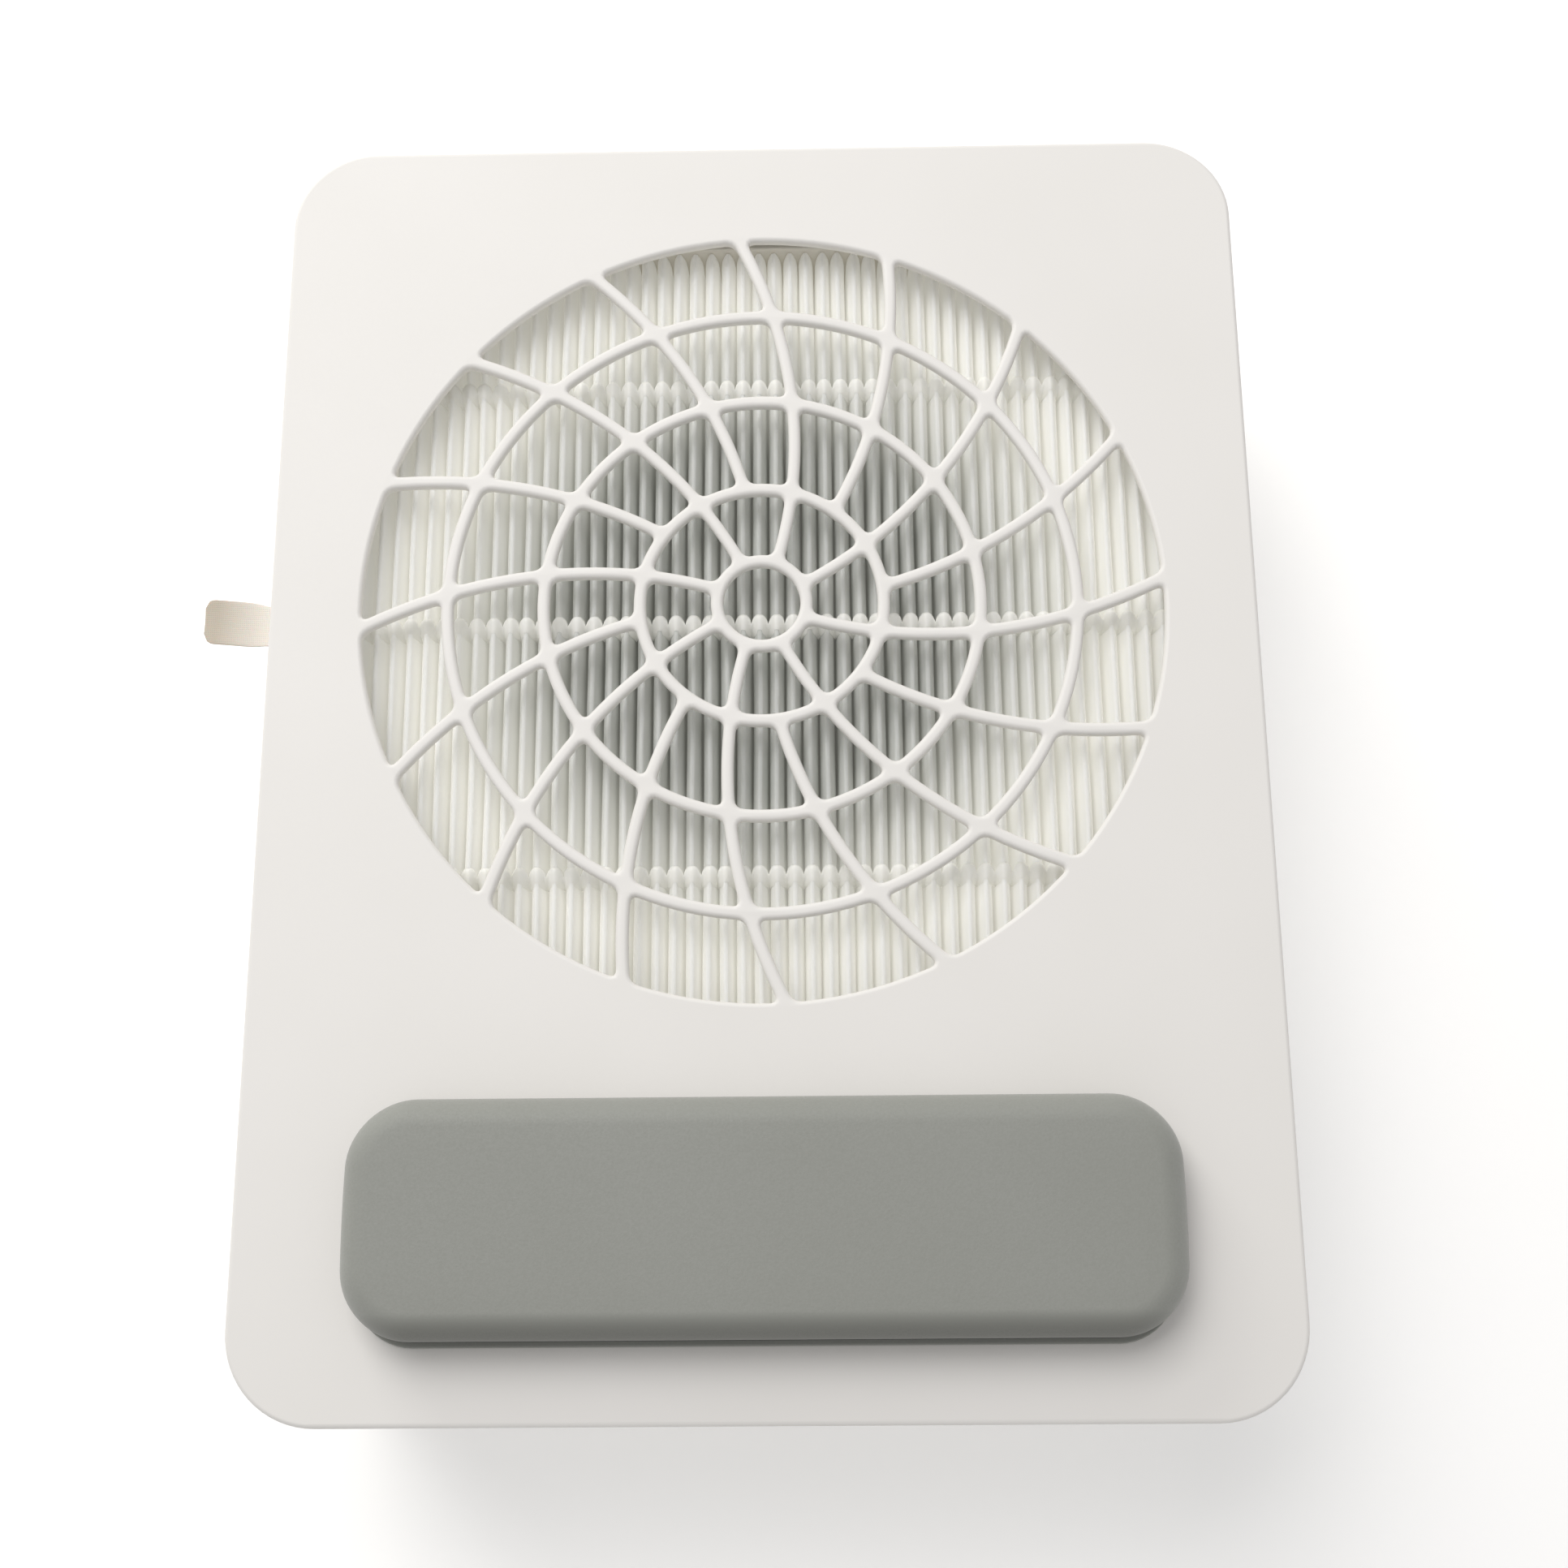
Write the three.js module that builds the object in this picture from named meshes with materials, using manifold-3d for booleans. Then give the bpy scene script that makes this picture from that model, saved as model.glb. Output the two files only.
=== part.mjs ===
// Desktop nail dust collector: a flat top plate with a spiral intake grille and a wrist rest, over a case
// that holds a slide-out pleated filter, a centrifugal fan and its electronics.
// Millimetres, +Z up. The origin is the centre of the base cover's underside; the feet stand lower.
// +Y points away from the user, and the filter pulls out to the left, along -X.
import * as THREE from "three";
import { mergeVertices } from "three/addons/utils/BufferGeometryUtils.js";
import Module from "manifold-3d";

const wasm = await Module();
wasm.setup();

// ---------- driving dimensions ----------
const plate = { width: 240, length: 315, thickness: 3, corner: 21, overhang: 5 };
const grille = {
  rearMargin: 26.9, // opening's rear edge to the plate's rear edge
  hub: 10.9, // centreline radius of the innermost ring
  innerBand: 18.8, // hub ring to second ring
  ringStep: 23.5, // between the second, third and fourth rings
  outerBand: 21, // fourth ring to the opening's edge
  ringWidth: 3,
  spokes: 16,
  spokeAngle: 67.6, // degrees, where a spoke's line would reach the centre
  twist: 0.2607, // degrees that a spoke turns for each millimetre outwards
  spokeWidth: 2.8, // at the centre
  spokeFlare: 0.003, // width gained for each millimetre outwards
};
const wall = { case: 3, base: 3, deck: 3, housing: 2, skirt: 1.6, rail: 1.5 };
const wrist = {
  width: 185, depth: 52, height: 14, corner: 15, edge: 5, frontMargin: 18.5,
  boardHeight: 2, boardInset: 1.5, boardLip: 1.6, pegRadius: 3, pegLength: 6, pegSpacing: 130,
};
const filter = {
  height: 28.4, cover: 4.1, offset: -2.5, frameWall: 5, endBlock: 12.5, recess: 0.5,
  pitch: 4.1, pleatDepth: 18, sheet: 0.5, topGap: 1.5, beadWidth: 5, beadStep: 63.3,
};
const tab = { width: 12, thickness: 0.8, reach: 18, overlap: 9, corner: 3, droop: 1.5 };
const fan = {
  chamber: 47, floorLift: 2, impellerRadius: 75, eyeRadius: 48, blades: 18, bladeThickness: 1.4,
  bladeHeight: 32, bladeSweep: 26, discThickness: 2, discLift: 5, shroudInner: 55,
  scrollStart: 80, scrollEnd: 97, tongueAngle: 55, sealHeight: 2,
};
const motor = { radius: 28, height: 20, shaftRadius: 3, cupGap: 3, cupWall: 2, cupTopGap: 2, nutHeight: 5 };
const inlet = { throat: 50, lip: 1.5, mouth: 62, drop: 9, flangeThickness: 1.5, flangeReach: 6,
  guardBar: 2 };
const screw = { radius: 1.7, headRadius: 3.2, headHeight: 1.8, threadDepth: 2.4, bossRadius: 4.6 };
const foot = { radius: 8, height: 3, recess: 0.8, pegRadius: 2.6, inset: 22 };
const magnet = { radius: 4, height: 3, wall: 1.2, gap: 0.5, keeperHeight: 2, halfSpacing: 92 };
const knob = { radius: 11, depth: 12, standOff: 1.5, boreDepth: 9, y: -92, z: 34, flutes: 18 };
const pot = { width: 17, depth: 9, shaftRadius: 3, bushRadius: 4.4 };
const rocker = { width: 9.6, height: 17, depth: 7, tilt: 8, proud: 3.2, y: -124, z: 34 };
const socket = { bezelY: 15, bezelZ: 23, bezelThickness: 2, bodyDepth: 17, bodyWall: 1.3 };
const jack = { fromSide: 37, z: 20, flange: 7, body: 5.4, bore: 2.9, pin: 1.05, length: 13, lip: 1.6 };
const board = { width: 84, depth: 44, thickness: 1.6, lift: 6, x: 20, y: -116, postRadius: 3 };
const exhaust = { flange: 4, proud: 2, bars: 9, barWidth: 2.2, frame: 2 };
const lead = { radius: 1.6, sides: 6, steps: 20 };

// ---------- named clearances ----------
const gap = { seat: 0.3, slide: 0.8, run: 0.3, peg: 0.2, button: 0.5, plateToFilter: 4 };

// ---------- levels and places worked out from them ----------
const caseWidth = plate.width - 2 * plate.overhang;
const caseLength = plate.length - 2 * plate.overhang;
const caseCorner = plate.corner - plate.overhang;
const innerHalfX = caseWidth / 2 - wall.case;
const innerHalfY = caseLength / 2 - wall.case;
const innerCorner = caseCorner - wall.case;
const floorZ = wall.base + fan.floorLift; // underside of the fan housing
const chamberZ = floorZ + wall.housing;
const deckZ = chamberZ + fan.chamber; // underside of the deck
const bayZ = deckZ + wall.deck; // top of the deck
const filterZ = bayZ + gap.slide;
const filterTop = filterZ + filter.height;
const caseTop = filterTop + gap.plateToFilter;
const plateTop = caseTop + plate.thickness;
const ringRadii = [0, 1, 2, 3].map((i) =>
  grille.hub + (i ? grille.innerBand + (i - 1) * grille.ringStep : 0));
const openingRadius = ringRadii[3] + grille.outerBand;
const grilleY = plate.length / 2 - grille.rearMargin - openingRadius;
const filterY = grilleY + filter.offset;
const filterLeft = -caseWidth / 2 + filter.recess;
const filterRight = innerHalfX - wall.rail - gap.slide;
const packLeft = filterLeft + filter.endBlock;
const packRight = filterRight - filter.frameWall;
const packHalfY = openingRadius + filter.cover; // the pleats reach past the opening, front and rear
const filterHalfY = packHalfY + filter.frameWall;
const wristY = -plate.length / 2 + wrist.frontMargin + wrist.depth / 2;
const postY = innerHalfY - magnet.radius - magnet.wall;
const bossX = innerHalfX - screw.bossRadius;
const bossY = innerHalfY - screw.bossRadius;
const jackX = -caseWidth / 2 + jack.fromSide;
const tongueX = fan.scrollStart * Math.cos(THREE.MathUtils.degToRad(fan.tongueAngle));
const ductBack = innerHalfY - gap.seat;

// ---------- materials ----------
const paint = (color, roughness, metalness = 0) =>
  new THREE.MeshStandardMaterial({ color, roughness, metalness });
const whitePlastic = paint(0xefece8, 0.4);
const greyFoam = paint(0x93928d, 0.75);
const darkPlastic = paint(0x2b2c2e, 0.5);
const paper = paint(0xe6e2d8, 0.95);
const glue = paint(0xeeeadc, 0.3);
const strap = paint(0xe2dbcc, 0.6);
const rubber = paint(0x262626, 0.9);
const steel = paint(0xb8babd, 0.35, 1);
const greenBoard = paint(0x2f6b45, 0.5);
const copperBlack = paint(0x1d1d1f, 0.6);

// ---------- solid helpers ----------
function solid(geometry) {
  const bare = geometry.clone();
  bare.deleteAttribute("normal");
  bare.deleteAttribute("uv");
  const merged = mergeVertices(bare, 1e-4);
  const index = merged.index.array;
  const kept = [];
  for (let i = 0; i < index.length; i += 3) {
    const [a, b, c] = index.subarray(i, i + 3);
    if (a !== b && b !== c && c !== a) kept.push(a, b, c);
  }
  const vertProperties = merged.attributes.position.array;
  return new wasm.Manifold(new wasm.Mesh({ numProp: 3, vertProperties, triVerts: new Uint32Array(kept) }));
}
const join = (...parts) => parts.reduce((whole, part) => whole.add(part));
const cut = (whole, ...tools) => tools.reduce((rest, tool) => rest.subtract(tool), whole);

function piece(name, shape, material) {
  const made = shape.getMesh();
  const geometry = new THREE.BufferGeometry();
  geometry.setAttribute("position", new THREE.BufferAttribute(made.vertProperties, 3));
  geometry.setIndex(new THREE.BufferAttribute(made.triVerts, 1));
  geometry.computeVertexNormals();
  const mesh = new THREE.Mesh(geometry, material);
  mesh.name = name;
  return mesh;
}

const placed = (geometry, x, y, z) => solid(geometry.translate(x, y, z));
const box = (x0, x1, y0, y1, z0, z1) =>
  placed(new THREE.BoxGeometry(x1 - x0, y1 - y0, z1 - z0), (x0 + x1) / 2, (y0 + y1) / 2, (z0 + z1) / 2);

// An upright rod; along +X or +Y when turned.
function rod(radius, low, high, x, y, sides = 14) {
  const geometry = new THREE.CylinderGeometry(radius, radius, high - low, sides).rotateX(Math.PI / 2);
  return placed(geometry, x, y, (low + high) / 2);
}
function rodX(radius, low, high, y, z, sides = 20) {
  const geometry = new THREE.CylinderGeometry(radius, radius, high - low, sides).rotateZ(Math.PI / 2);
  return placed(geometry, (low + high) / 2, y, z);
}
function rodY(radius, low, high, x, z, sides = 20) {
  return placed(new THREE.CylinderGeometry(radius, radius, high - low, sides), x, (low + high) / 2, z);
}

function roundedRectangle(width, length, radius) {
  const [w, l] = [width / 2, length / 2];
  const shape = new THREE.Shape();
  shape.moveTo(-w + radius, -l);
  shape.lineTo(w - radius, -l).absarc(w - radius, -l + radius, radius, -Math.PI / 2, 0);
  shape.lineTo(w, l - radius).absarc(w - radius, l - radius, radius, 0, Math.PI / 2);
  shape.lineTo(-w + radius, l).absarc(-w + radius, l - radius, radius, Math.PI / 2, Math.PI);
  shape.lineTo(-w, -l + radius).absarc(-w + radius, -l + radius, radius, Math.PI, 1.5 * Math.PI);
  return shape;
}
function prism(shape, low, high, x = 0, y = 0, curveSegments = 6) {
  const settings = { depth: high - low, bevelEnabled: false, curveSegments };
  return placed(new THREE.ExtrudeGeometry(shape, settings), x, y, low);
}
const slab = (width, length, radius, low, high, x = 0, y = 0) =>
  prism(roundedRectangle(width, length, radius), low, high, x, y);

// A body of revolution about Z from [radius, z] points, listed counter-clockwise.
function turned(points, x, y, segments = 32) {
  const profile = points.map(([radius, z]) => new THREE.Vector2(radius, z));
  if (points[0][0] > 0) profile.push(profile[0].clone());
  return placed(new THREE.LatheGeometry(profile, segments).rotateX(Math.PI / 2), x, y, 0);
}
const ring = (inner, outer, low, high, x, y, segments) =>
  turned([[inner, low], [outer, low], [outer, high], [inner, high]], x, y, segments);

// ---------- top plate with its spiral grille ----------
const spokeTurn = (2 * Math.PI) / grille.spokes;
const spokeAt = (radius) => THREE.MathUtils.degToRad(grille.spokeAngle + grille.twist * radius);
function halfSpokeAngle(radius) {
  const lean = Math.atan(radius * THREE.MathUtils.degToRad(grille.twist));
  return (grille.spokeWidth + grille.spokeFlare * radius) / (2 * radius * Math.cos(lean));
}
const polar = (radius, angle) => new THREE.Vector2(radius * Math.cos(angle), radius * Math.sin(angle));

// One opening between two rings and two spokes, the second `skip` spokes on from the first.
function cellHole(inner, outer, first, skip, arcSteps) {
  const radii = (outer > ringRadii[3] ? [0, 0.5, 1] : [0, 1]).map((t) => inner + (outer - inner) * t);
  const from = (radius) => spokeAt(radius) + first * spokeTurn + halfSpokeAngle(radius);
  const to = (radius) => spokeAt(radius) + (first + skip) * spokeTurn - halfSpokeAngle(radius);
  const arc = (radius) =>
    Array.from({ length: arcSteps - 1 }, (_, i) =>
      polar(radius, from(radius) + ((to(radius) - from(radius)) * (i + 1)) / arcSteps));
  return new THREE.Path([
    ...radii.map((radius) => polar(radius, to(radius))),
    ...arc(outer).reverse(),
    ...[...radii].reverse().map((radius) => polar(radius, from(radius))),
    ...arc(inner),
  ]);
}

function grilleHoles() {
  const holes = [new THREE.Path().absarc(0, 0, ringRadii[0] - grille.ringWidth / 2, 0, 2 * Math.PI)];
  const edges = [...ringRadii, openingRadius];
  for (let band = 0; band < ringRadii.length; band++) {
    const inner = edges[band] + grille.ringWidth / 2;
    const outer = edges[band + 1] - (band < 3 ? grille.ringWidth / 2 : 0);
    const skip = band === 0 ? 2 : 1;
    for (let first = 0; first < grille.spokes; first += skip)
      holes.push(cellHole(inner, outer, first, skip, [4, 2, 2, 3][band]));
  }
  return holes;
}

const postPlaces = [-1, 1].flatMap((sx) => [-1, 1].map((sy) => [sx * magnet.halfSpacing, sy * postY]));
const sideName = (x, y) => (y < 0 ? "front" : "rear") + "_" + (x < 0 ? "left" : "right");

function topPlate() {
  const outline = roundedRectangle(plate.width, plate.length, plate.corner);
  outline.holes = grilleHoles().map((hole) => new THREE.Path(hole.getPoints(8).map((p) =>
    p.setY(p.y + grilleY))));
  const skirtOuter = { x: innerHalfX - gap.button, y: innerHalfY - gap.button, r: innerCorner - gap.button };
  const skirtLow = filterTop + gap.slide;
  const skirt = cut(
    slab(2 * skirtOuter.x, 2 * skirtOuter.y, skirtOuter.r, skirtLow, caseTop),
    slab(2 * (skirtOuter.x - wall.skirt), 2 * (skirtOuter.y - wall.skirt), skirtOuter.r - wall.skirt,
      skirtLow - 1, caseTop + 1),
  );
  const low = filterTop - magnet.height / 2;
  const cups = postPlaces.map(([x, y]) =>
    join(rod(magnet.radius + magnet.wall, low, caseTop, x, y)));
  const pockets = postPlaces.map(([x, y]) =>
    rod(magnet.radius + gap.peg, low - 1, low + magnet.height, x, y));
  const pegHoles = [-1, 1].map((s) =>
    rod(wrist.pegRadius + gap.peg, caseTop - 1, plateTop + 1, (s * wrist.pegSpacing) / 2, wristY));
  const tabNotch = box(-plate.width, -innerHalfX + 3 * wall.skirt, filterY - tab.width, filterY + tab.width,
    skirtLow - 1, caseTop);
  const rim = cut(skirt, tabNotch);
  const shape = cut(join(prism(outline, caseTop, plateTop), rim, ...cups), ...pockets, ...pegHoles);
  const magnets = postPlaces.map(([x, y]) =>
    piece("plate_magnet_" + sideName(x, y), rod(magnet.radius, low, low + magnet.height - gap.peg, x, y),
      steel));
  return { pieces: [piece("top_plate", shape, whitePlastic), ...magnets], magnetLow: low };
}

// ---------- wrist rest ----------
function wristRest() {
  const boardTop = plateTop + wrist.boardHeight;
  const board = slab(wrist.width - 2 * wrist.boardInset, wrist.depth + wrist.boardLip - wrist.boardInset,
    wrist.corner - wrist.boardInset, plateTop, boardTop, 0,
      wristY - (wrist.boardLip + wrist.boardInset) / 2);
  const pegPlaces = [-1, 1].map((s) => (s * wrist.pegSpacing) / 2);
  const sockets = pegPlaces.map((x) => rod(wrist.pegRadius + gap.peg, plateTop - 1, boardTop + 1, x,
    wristY));
  const outline = roundedRectangle(wrist.width - 2 * wrist.edge, wrist.depth - 2 * wrist.edge,
    wrist.corner - wrist.edge);
  const settings = {
    depth: wrist.height - wrist.edge - 1, bevelEnabled: true, bevelThickness: wrist.edge,
    bevelSize: wrist.edge, bevelSegments: 3, curveSegments: 5,
  };
  const rolled = placed(new THREE.ExtrudeGeometry(outline, settings), 0, wristY, boardTop + 1);
  const cushion = rolled.intersect(
    box(-wrist.width, wrist.width, -plate.length, plate.length, boardTop, boardTop + 2 * wrist.height));
  const pegs = pegPlaces.map((x, i) =>
    piece(["wrist_peg_left", "wrist_peg_right"][i],
      rod(wrist.pegRadius, boardTop - wrist.pegLength, boardTop, x, wristY), darkPlastic));
  return [
    piece("wrist_rest_cushion", cushion, greyFoam),
    piece("wrist_rest_board", cut(board, ...sockets), darkPlastic),
    ...pegs,
  ];
}

// ---------- filter cassette ----------
function pleatSheet() {
  const top = filterTop - filter.topGap;
  const low = top - filter.pleatDepth;
  const width = packRight - packLeft - 2 * gap.seat;
  const count = Math.floor(width / filter.pitch);
  const step = width / (2 * count);
  const start = packLeft + gap.seat;
  const ridge = (i) => (i % 2 ? top : low);
  const upper = Array.from({ length: 2 * count + 1 }, (_, i) => [start + i * step, ridge(i)]);
  const slope = filter.pleatDepth / step;
  const drop = filter.sheet * Math.hypot(1, slope); // the sheet's thickness measured straight down
  const outline = [
    ...upper.map(([x, z]) => new THREE.Vector2(x, -z)),
    ...upper.reverse().map(([x, z]) => new THREE.Vector2(x, -(z - drop))),
  ];
  const settings = { depth: 2 * (packHalfY - gap.seat), bevelEnabled: false };
  const geometry = new THREE.ExtrudeGeometry(new THREE.Shape(outline), settings).rotateX(-Math.PI / 2);
  return placed(geometry, 0, filterY - packHalfY + gap.seat, 0);
}

function filterCassette() {
  const [front, rear] = [filterY - filterHalfY, filterY + filterHalfY];
  const pleats = pleatSheet();
  const frame = cut(
    box(filterLeft, filterRight, front, rear, filterZ, filterTop),
    box(packLeft, packRight, filterY - packHalfY, filterY + packHalfY, filterZ - 1, filterTop + 1),
  );
  const beads = [-1, 0, 1].map((i) => {
    const y = filterY + i * filter.beadStep;
    const [left, right] = [packLeft + gap.seat, packRight - gap.seat];
    const strip = box(left, right, y - filter.beadWidth / 2, y + filter.beadWidth / 2,
      filterTop - filter.topGap + gap.seat, filterTop - filter.topGap + gap.seat + 1);
    return piece("glue_bead_" + ["front", "middle", "rear"][i + 1], strip, glue);
  });
  return [
    piece("filter_frame", frame, whitePlastic),
    piece("filter_pleats", pleats, paper),
    ...beads,
    pullTab(),
  ];
}

// The strap lies on the end block, leaves over its outer edge and droops a little.
function pullTab() {
  const length = tab.overlap + plate.overhang + filter.recess + tab.reach;
  const root = filterLeft + tab.overlap;
  const half = tab.width / 2;
  const shape = new THREE.Shape();
  shape.moveTo(0, -half).lineTo(0, half).lineTo(-length + tab.corner, half);
  shape.absarc(-length + tab.corner, half - tab.corner, tab.corner, Math.PI / 2, Math.PI);
  shape.absarc(-length + tab.corner, -half + tab.corner, tab.corner, Math.PI, 1.5 * Math.PI);
  const flat = prism(shape, 0, tab.thickness, root, filterY, 4);
  const bend = new THREE.Shape();
  const outer = root - length;
  bend.moveTo(root, 0).lineTo(filterLeft, 0).lineTo(outer, -tab.droop);
  bend.lineTo(outer, tab.thickness - tab.droop).lineTo(filterLeft, tab.thickness).lineTo(root,
    tab.thickness);
  const side = new THREE.ExtrudeGeometry(bend, { depth: tab.width,
    bevelEnabled: false }).rotateX(Math.PI / 2);
  const bent = placed(side, 0, filterY + half, filterTop + gap.seat);
  const tall = flat.scale([1, 1, 10]).translate([0, 0, filterTop - 4 * tab.thickness]);
  return piece("pull_tab", bent.intersect(tall), strap);
}

// ---------- case ----------
const exhaustBox = {
  x0: tongueX + fan.bladeThickness, x1: fan.scrollEnd - fan.bladeThickness,
  z0: chamberZ + 1, z1: deckZ - fan.sealHeight - 1,
};

function caseShell() {
  const outside = slab(caseWidth, caseLength, caseCorner, 0, caseTop);
  const inside = slab(2 * innerHalfX, 2 * innerHalfY, innerCorner, -1, caseTop + 1);
  const bosses = bossPlaces.map(([x, y]) =>
    join(
      rod(screw.bossRadius, wall.base, deckZ, x, y, 16),
      box(Math.min(x, Math.sign(x) * innerHalfX), Math.max(x, Math.sign(x) * innerHalfX) , y - 1.5, y + 1.5,
        wall.base, deckZ),
    ));
  const screwHoles = bossPlaces.map(([x, y]) => rod(screw.radius + gap.peg, 0, deckZ + 1, x, y, 12));
  const slot = box(-caseWidth, -innerHalfX + 1, filterY - filterHalfY - gap.slide,
    filterY + filterHalfY + gap.slide, bayZ, filterTop + gap.seat + tab.thickness + gap.seat);
  const vent = box(exhaustBox.x0, exhaustBox.x1, innerHalfY - 1, caseLength, exhaustBox.z0, exhaustBox.z1);
  const switchHole = box(innerHalfX - 1, caseWidth, rocker.y - socket.bezelY / 2 + 1,
    rocker.y + socket.bezelY / 2 - 1,
    rocker.z - socket.bezelZ / 2 + 1, rocker.z + socket.bezelZ / 2 - 1);
  const knobHole = rodX(pot.bushRadius + gap.peg, innerHalfX - 1, caseWidth, knob.y, knob.z, 16);
  const jackHole = rodY(jack.body + gap.peg, innerHalfY - 1, caseLength, jackX, jack.z, 16);
  return piece("case_shell",
    cut(join(cut(outside, inside), ...bosses), ...screwHoles, slot, vent, switchHole, knobHole, jackHole),
    whitePlastic);
}

const bossPlaces = [-1, 1].flatMap((sx) => [-1, 1].map((sy) =>
  [sx * bossX, sy * (bossY - screw.bossRadius)]));
const footPlaces = [-1, 1].flatMap((sx) =>
  [-1, 1].map((sy) => [sx * (innerHalfX - foot.inset), sy * (innerHalfY - foot.inset)]));
const lugAngles = [100, 195, 300];
const scrollRadius = (degrees) =>
  fan.scrollStart + ((fan.scrollEnd - fan.scrollStart) * (degrees - fan.tongueAngle))
    / (360 - fan.tongueAngle);
const lugPlaces = lugAngles.map((degrees) => {
  const reach = scrollRadius(degrees) + wall.housing + screw.headRadius + 1;
  const angle = THREE.MathUtils.degToRad(degrees);
  return [reach * Math.cos(angle), grilleY + reach * Math.sin(angle)];
});
const boardPosts = [-1, 1].map((s) => [board.x + s * (board.width / 2 - 2 * board.postRadius), board.y]);

function baseCover() {
  const sheet = slab(2 * (innerHalfX - gap.seat), 2 * (innerHalfY - gap.seat), innerCorner - gap.seat, 0,
    wall.base);
  const posts = boardPosts.map(([x, y]) =>
    rod(board.postRadius, wall.base, wall.base + board.lift, x, y, 16));
  const screwHoles = bossPlaces.map(([x, y]) =>
    join(rod(screw.radius + gap.peg, -1, wall.base + 1, x, y, 12),
      rod(screw.headRadius + gap.peg, -1, screw.headHeight + gap.peg, x, y, 16)));
  const footHoles = footPlaces.map(([x, y]) =>
    join(rod(foot.pegRadius + gap.peg, -1, wall.base + 1, x, y, 12),
      rod(foot.radius + gap.peg, -1, foot.recess, x, y, 18)));
  const fanHoles = lugPlaces.map(([x, y]) =>
    rod(screw.radius + gap.peg, wall.base - screw.threadDepth, wall.base + 1, x, y, 12));
  return piece("base_cover", cut(join(sheet, ...posts), ...screwHoles, ...footHoles, ...fanHoles),
    whitePlastic);
}

const longScrewTop = bayZ - 0.8;
const caseScrews = () =>
  bossPlaces.map(([x, y]) => {
    const shape = join(rod(screw.radius, 0.2, longScrewTop, x, y, 10),
      rod(screw.headRadius, 0.2, screw.headHeight, x, y, 14));
    const slotCut = box(x - screw.headRadius, x + screw.headRadius, y - 0.4, y + 0.4, 0, 0.9);
    return piece("case_screw_" + sideName(x, y), cut(shape, slotCut), steel);
  });

const feet = () =>
  footPlaces.map(([x, y]) =>
    piece("foot_" + sideName(x, y),
      turned([[0, -foot.height], [foot.radius - 1, -foot.height], [foot.radius, 1 - foot.height],
        [foot.radius, foot.recess], [foot.pegRadius, foot.recess], [foot.pegRadius, wall.base + 1],
        [0, wall.base + 1]], x, y, 18), rubber));

// The shelf that the filter slides on: rails, an end stop and the posts that the plate's magnets meet.
function filterDeck(magnetLow) {
  const postTop = magnetLow - magnet.gap;
  const railTop = filterTop - 2;
  const sheet = slab(2 * (innerHalfX - gap.seat), 2 * (innerHalfY - gap.seat), innerCorner - gap.seat,
    deckZ, bayZ);
  const [left, right] = [-innerHalfX + 2 * wall.rail, innerHalfX - gap.seat];
  const rails = [-1, 1].map((s) => {
    const face = filterY + s * (filterHalfY + gap.slide);
    const back = face + s * wall.rail;
    return box(left, -left, Math.min(face, back), Math.max(face, back), deckZ, railTop);
  });
  const stop = box(right - wall.rail, right, filterY - filterHalfY, filterY + filterHalfY,
    deckZ, railTop);
  const posts = postPlaces.map(([x, y]) =>
    rod(magnet.radius + magnet.wall - gap.seat, deckZ, postTop, x, y));
  const keeperPockets = postPlaces.map(([x, y]) =>
    rod(magnet.radius + gap.peg, postTop - magnet.keeperHeight, postTop + 1, x, y));
  const inletHole = rod(inlet.mouth + gap.seat, deckZ - 1, bayZ + 1, 0, grilleY, 32);
  const screwHoles = bossPlaces.map(([x, y]) => rod(screw.radius + gap.peg, deckZ - 1, bayZ + 1, x, y, 12));
  const keepers = postPlaces.map(([x, y]) =>
    piece("post_keeper_" + sideName(x, y),
      rod(magnet.radius, postTop - magnet.keeperHeight, postTop, x, y), steel));
  const deck = cut(join(sheet, ...rails, stop, ...posts), ...keeperPockets, inletHole, ...screwHoles);
  return [piece("filter_deck", deck, whitePlastic), ...keepers];
}

// ---------- fan ----------
function scrollOutline(offset, rear) {
  const start = THREE.MathUtils.radToDeg(Math.acos((tongueX - offset) / (fan.scrollStart + offset)));
  const steps = 28;
  const points = [];
  for (let i = 0; i <= steps; i++) {
    const degrees = start + ((360 - start) * i) / steps;
    points.push(polar(scrollRadius(degrees) + offset, THREE.MathUtils.degToRad(degrees)));
  }
  points.push(new THREE.Vector2(fan.scrollEnd + offset, rear - grilleY));
  points.push(new THREE.Vector2(tongueX - offset, rear - grilleY));
  return new THREE.Shape(points);
}

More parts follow.
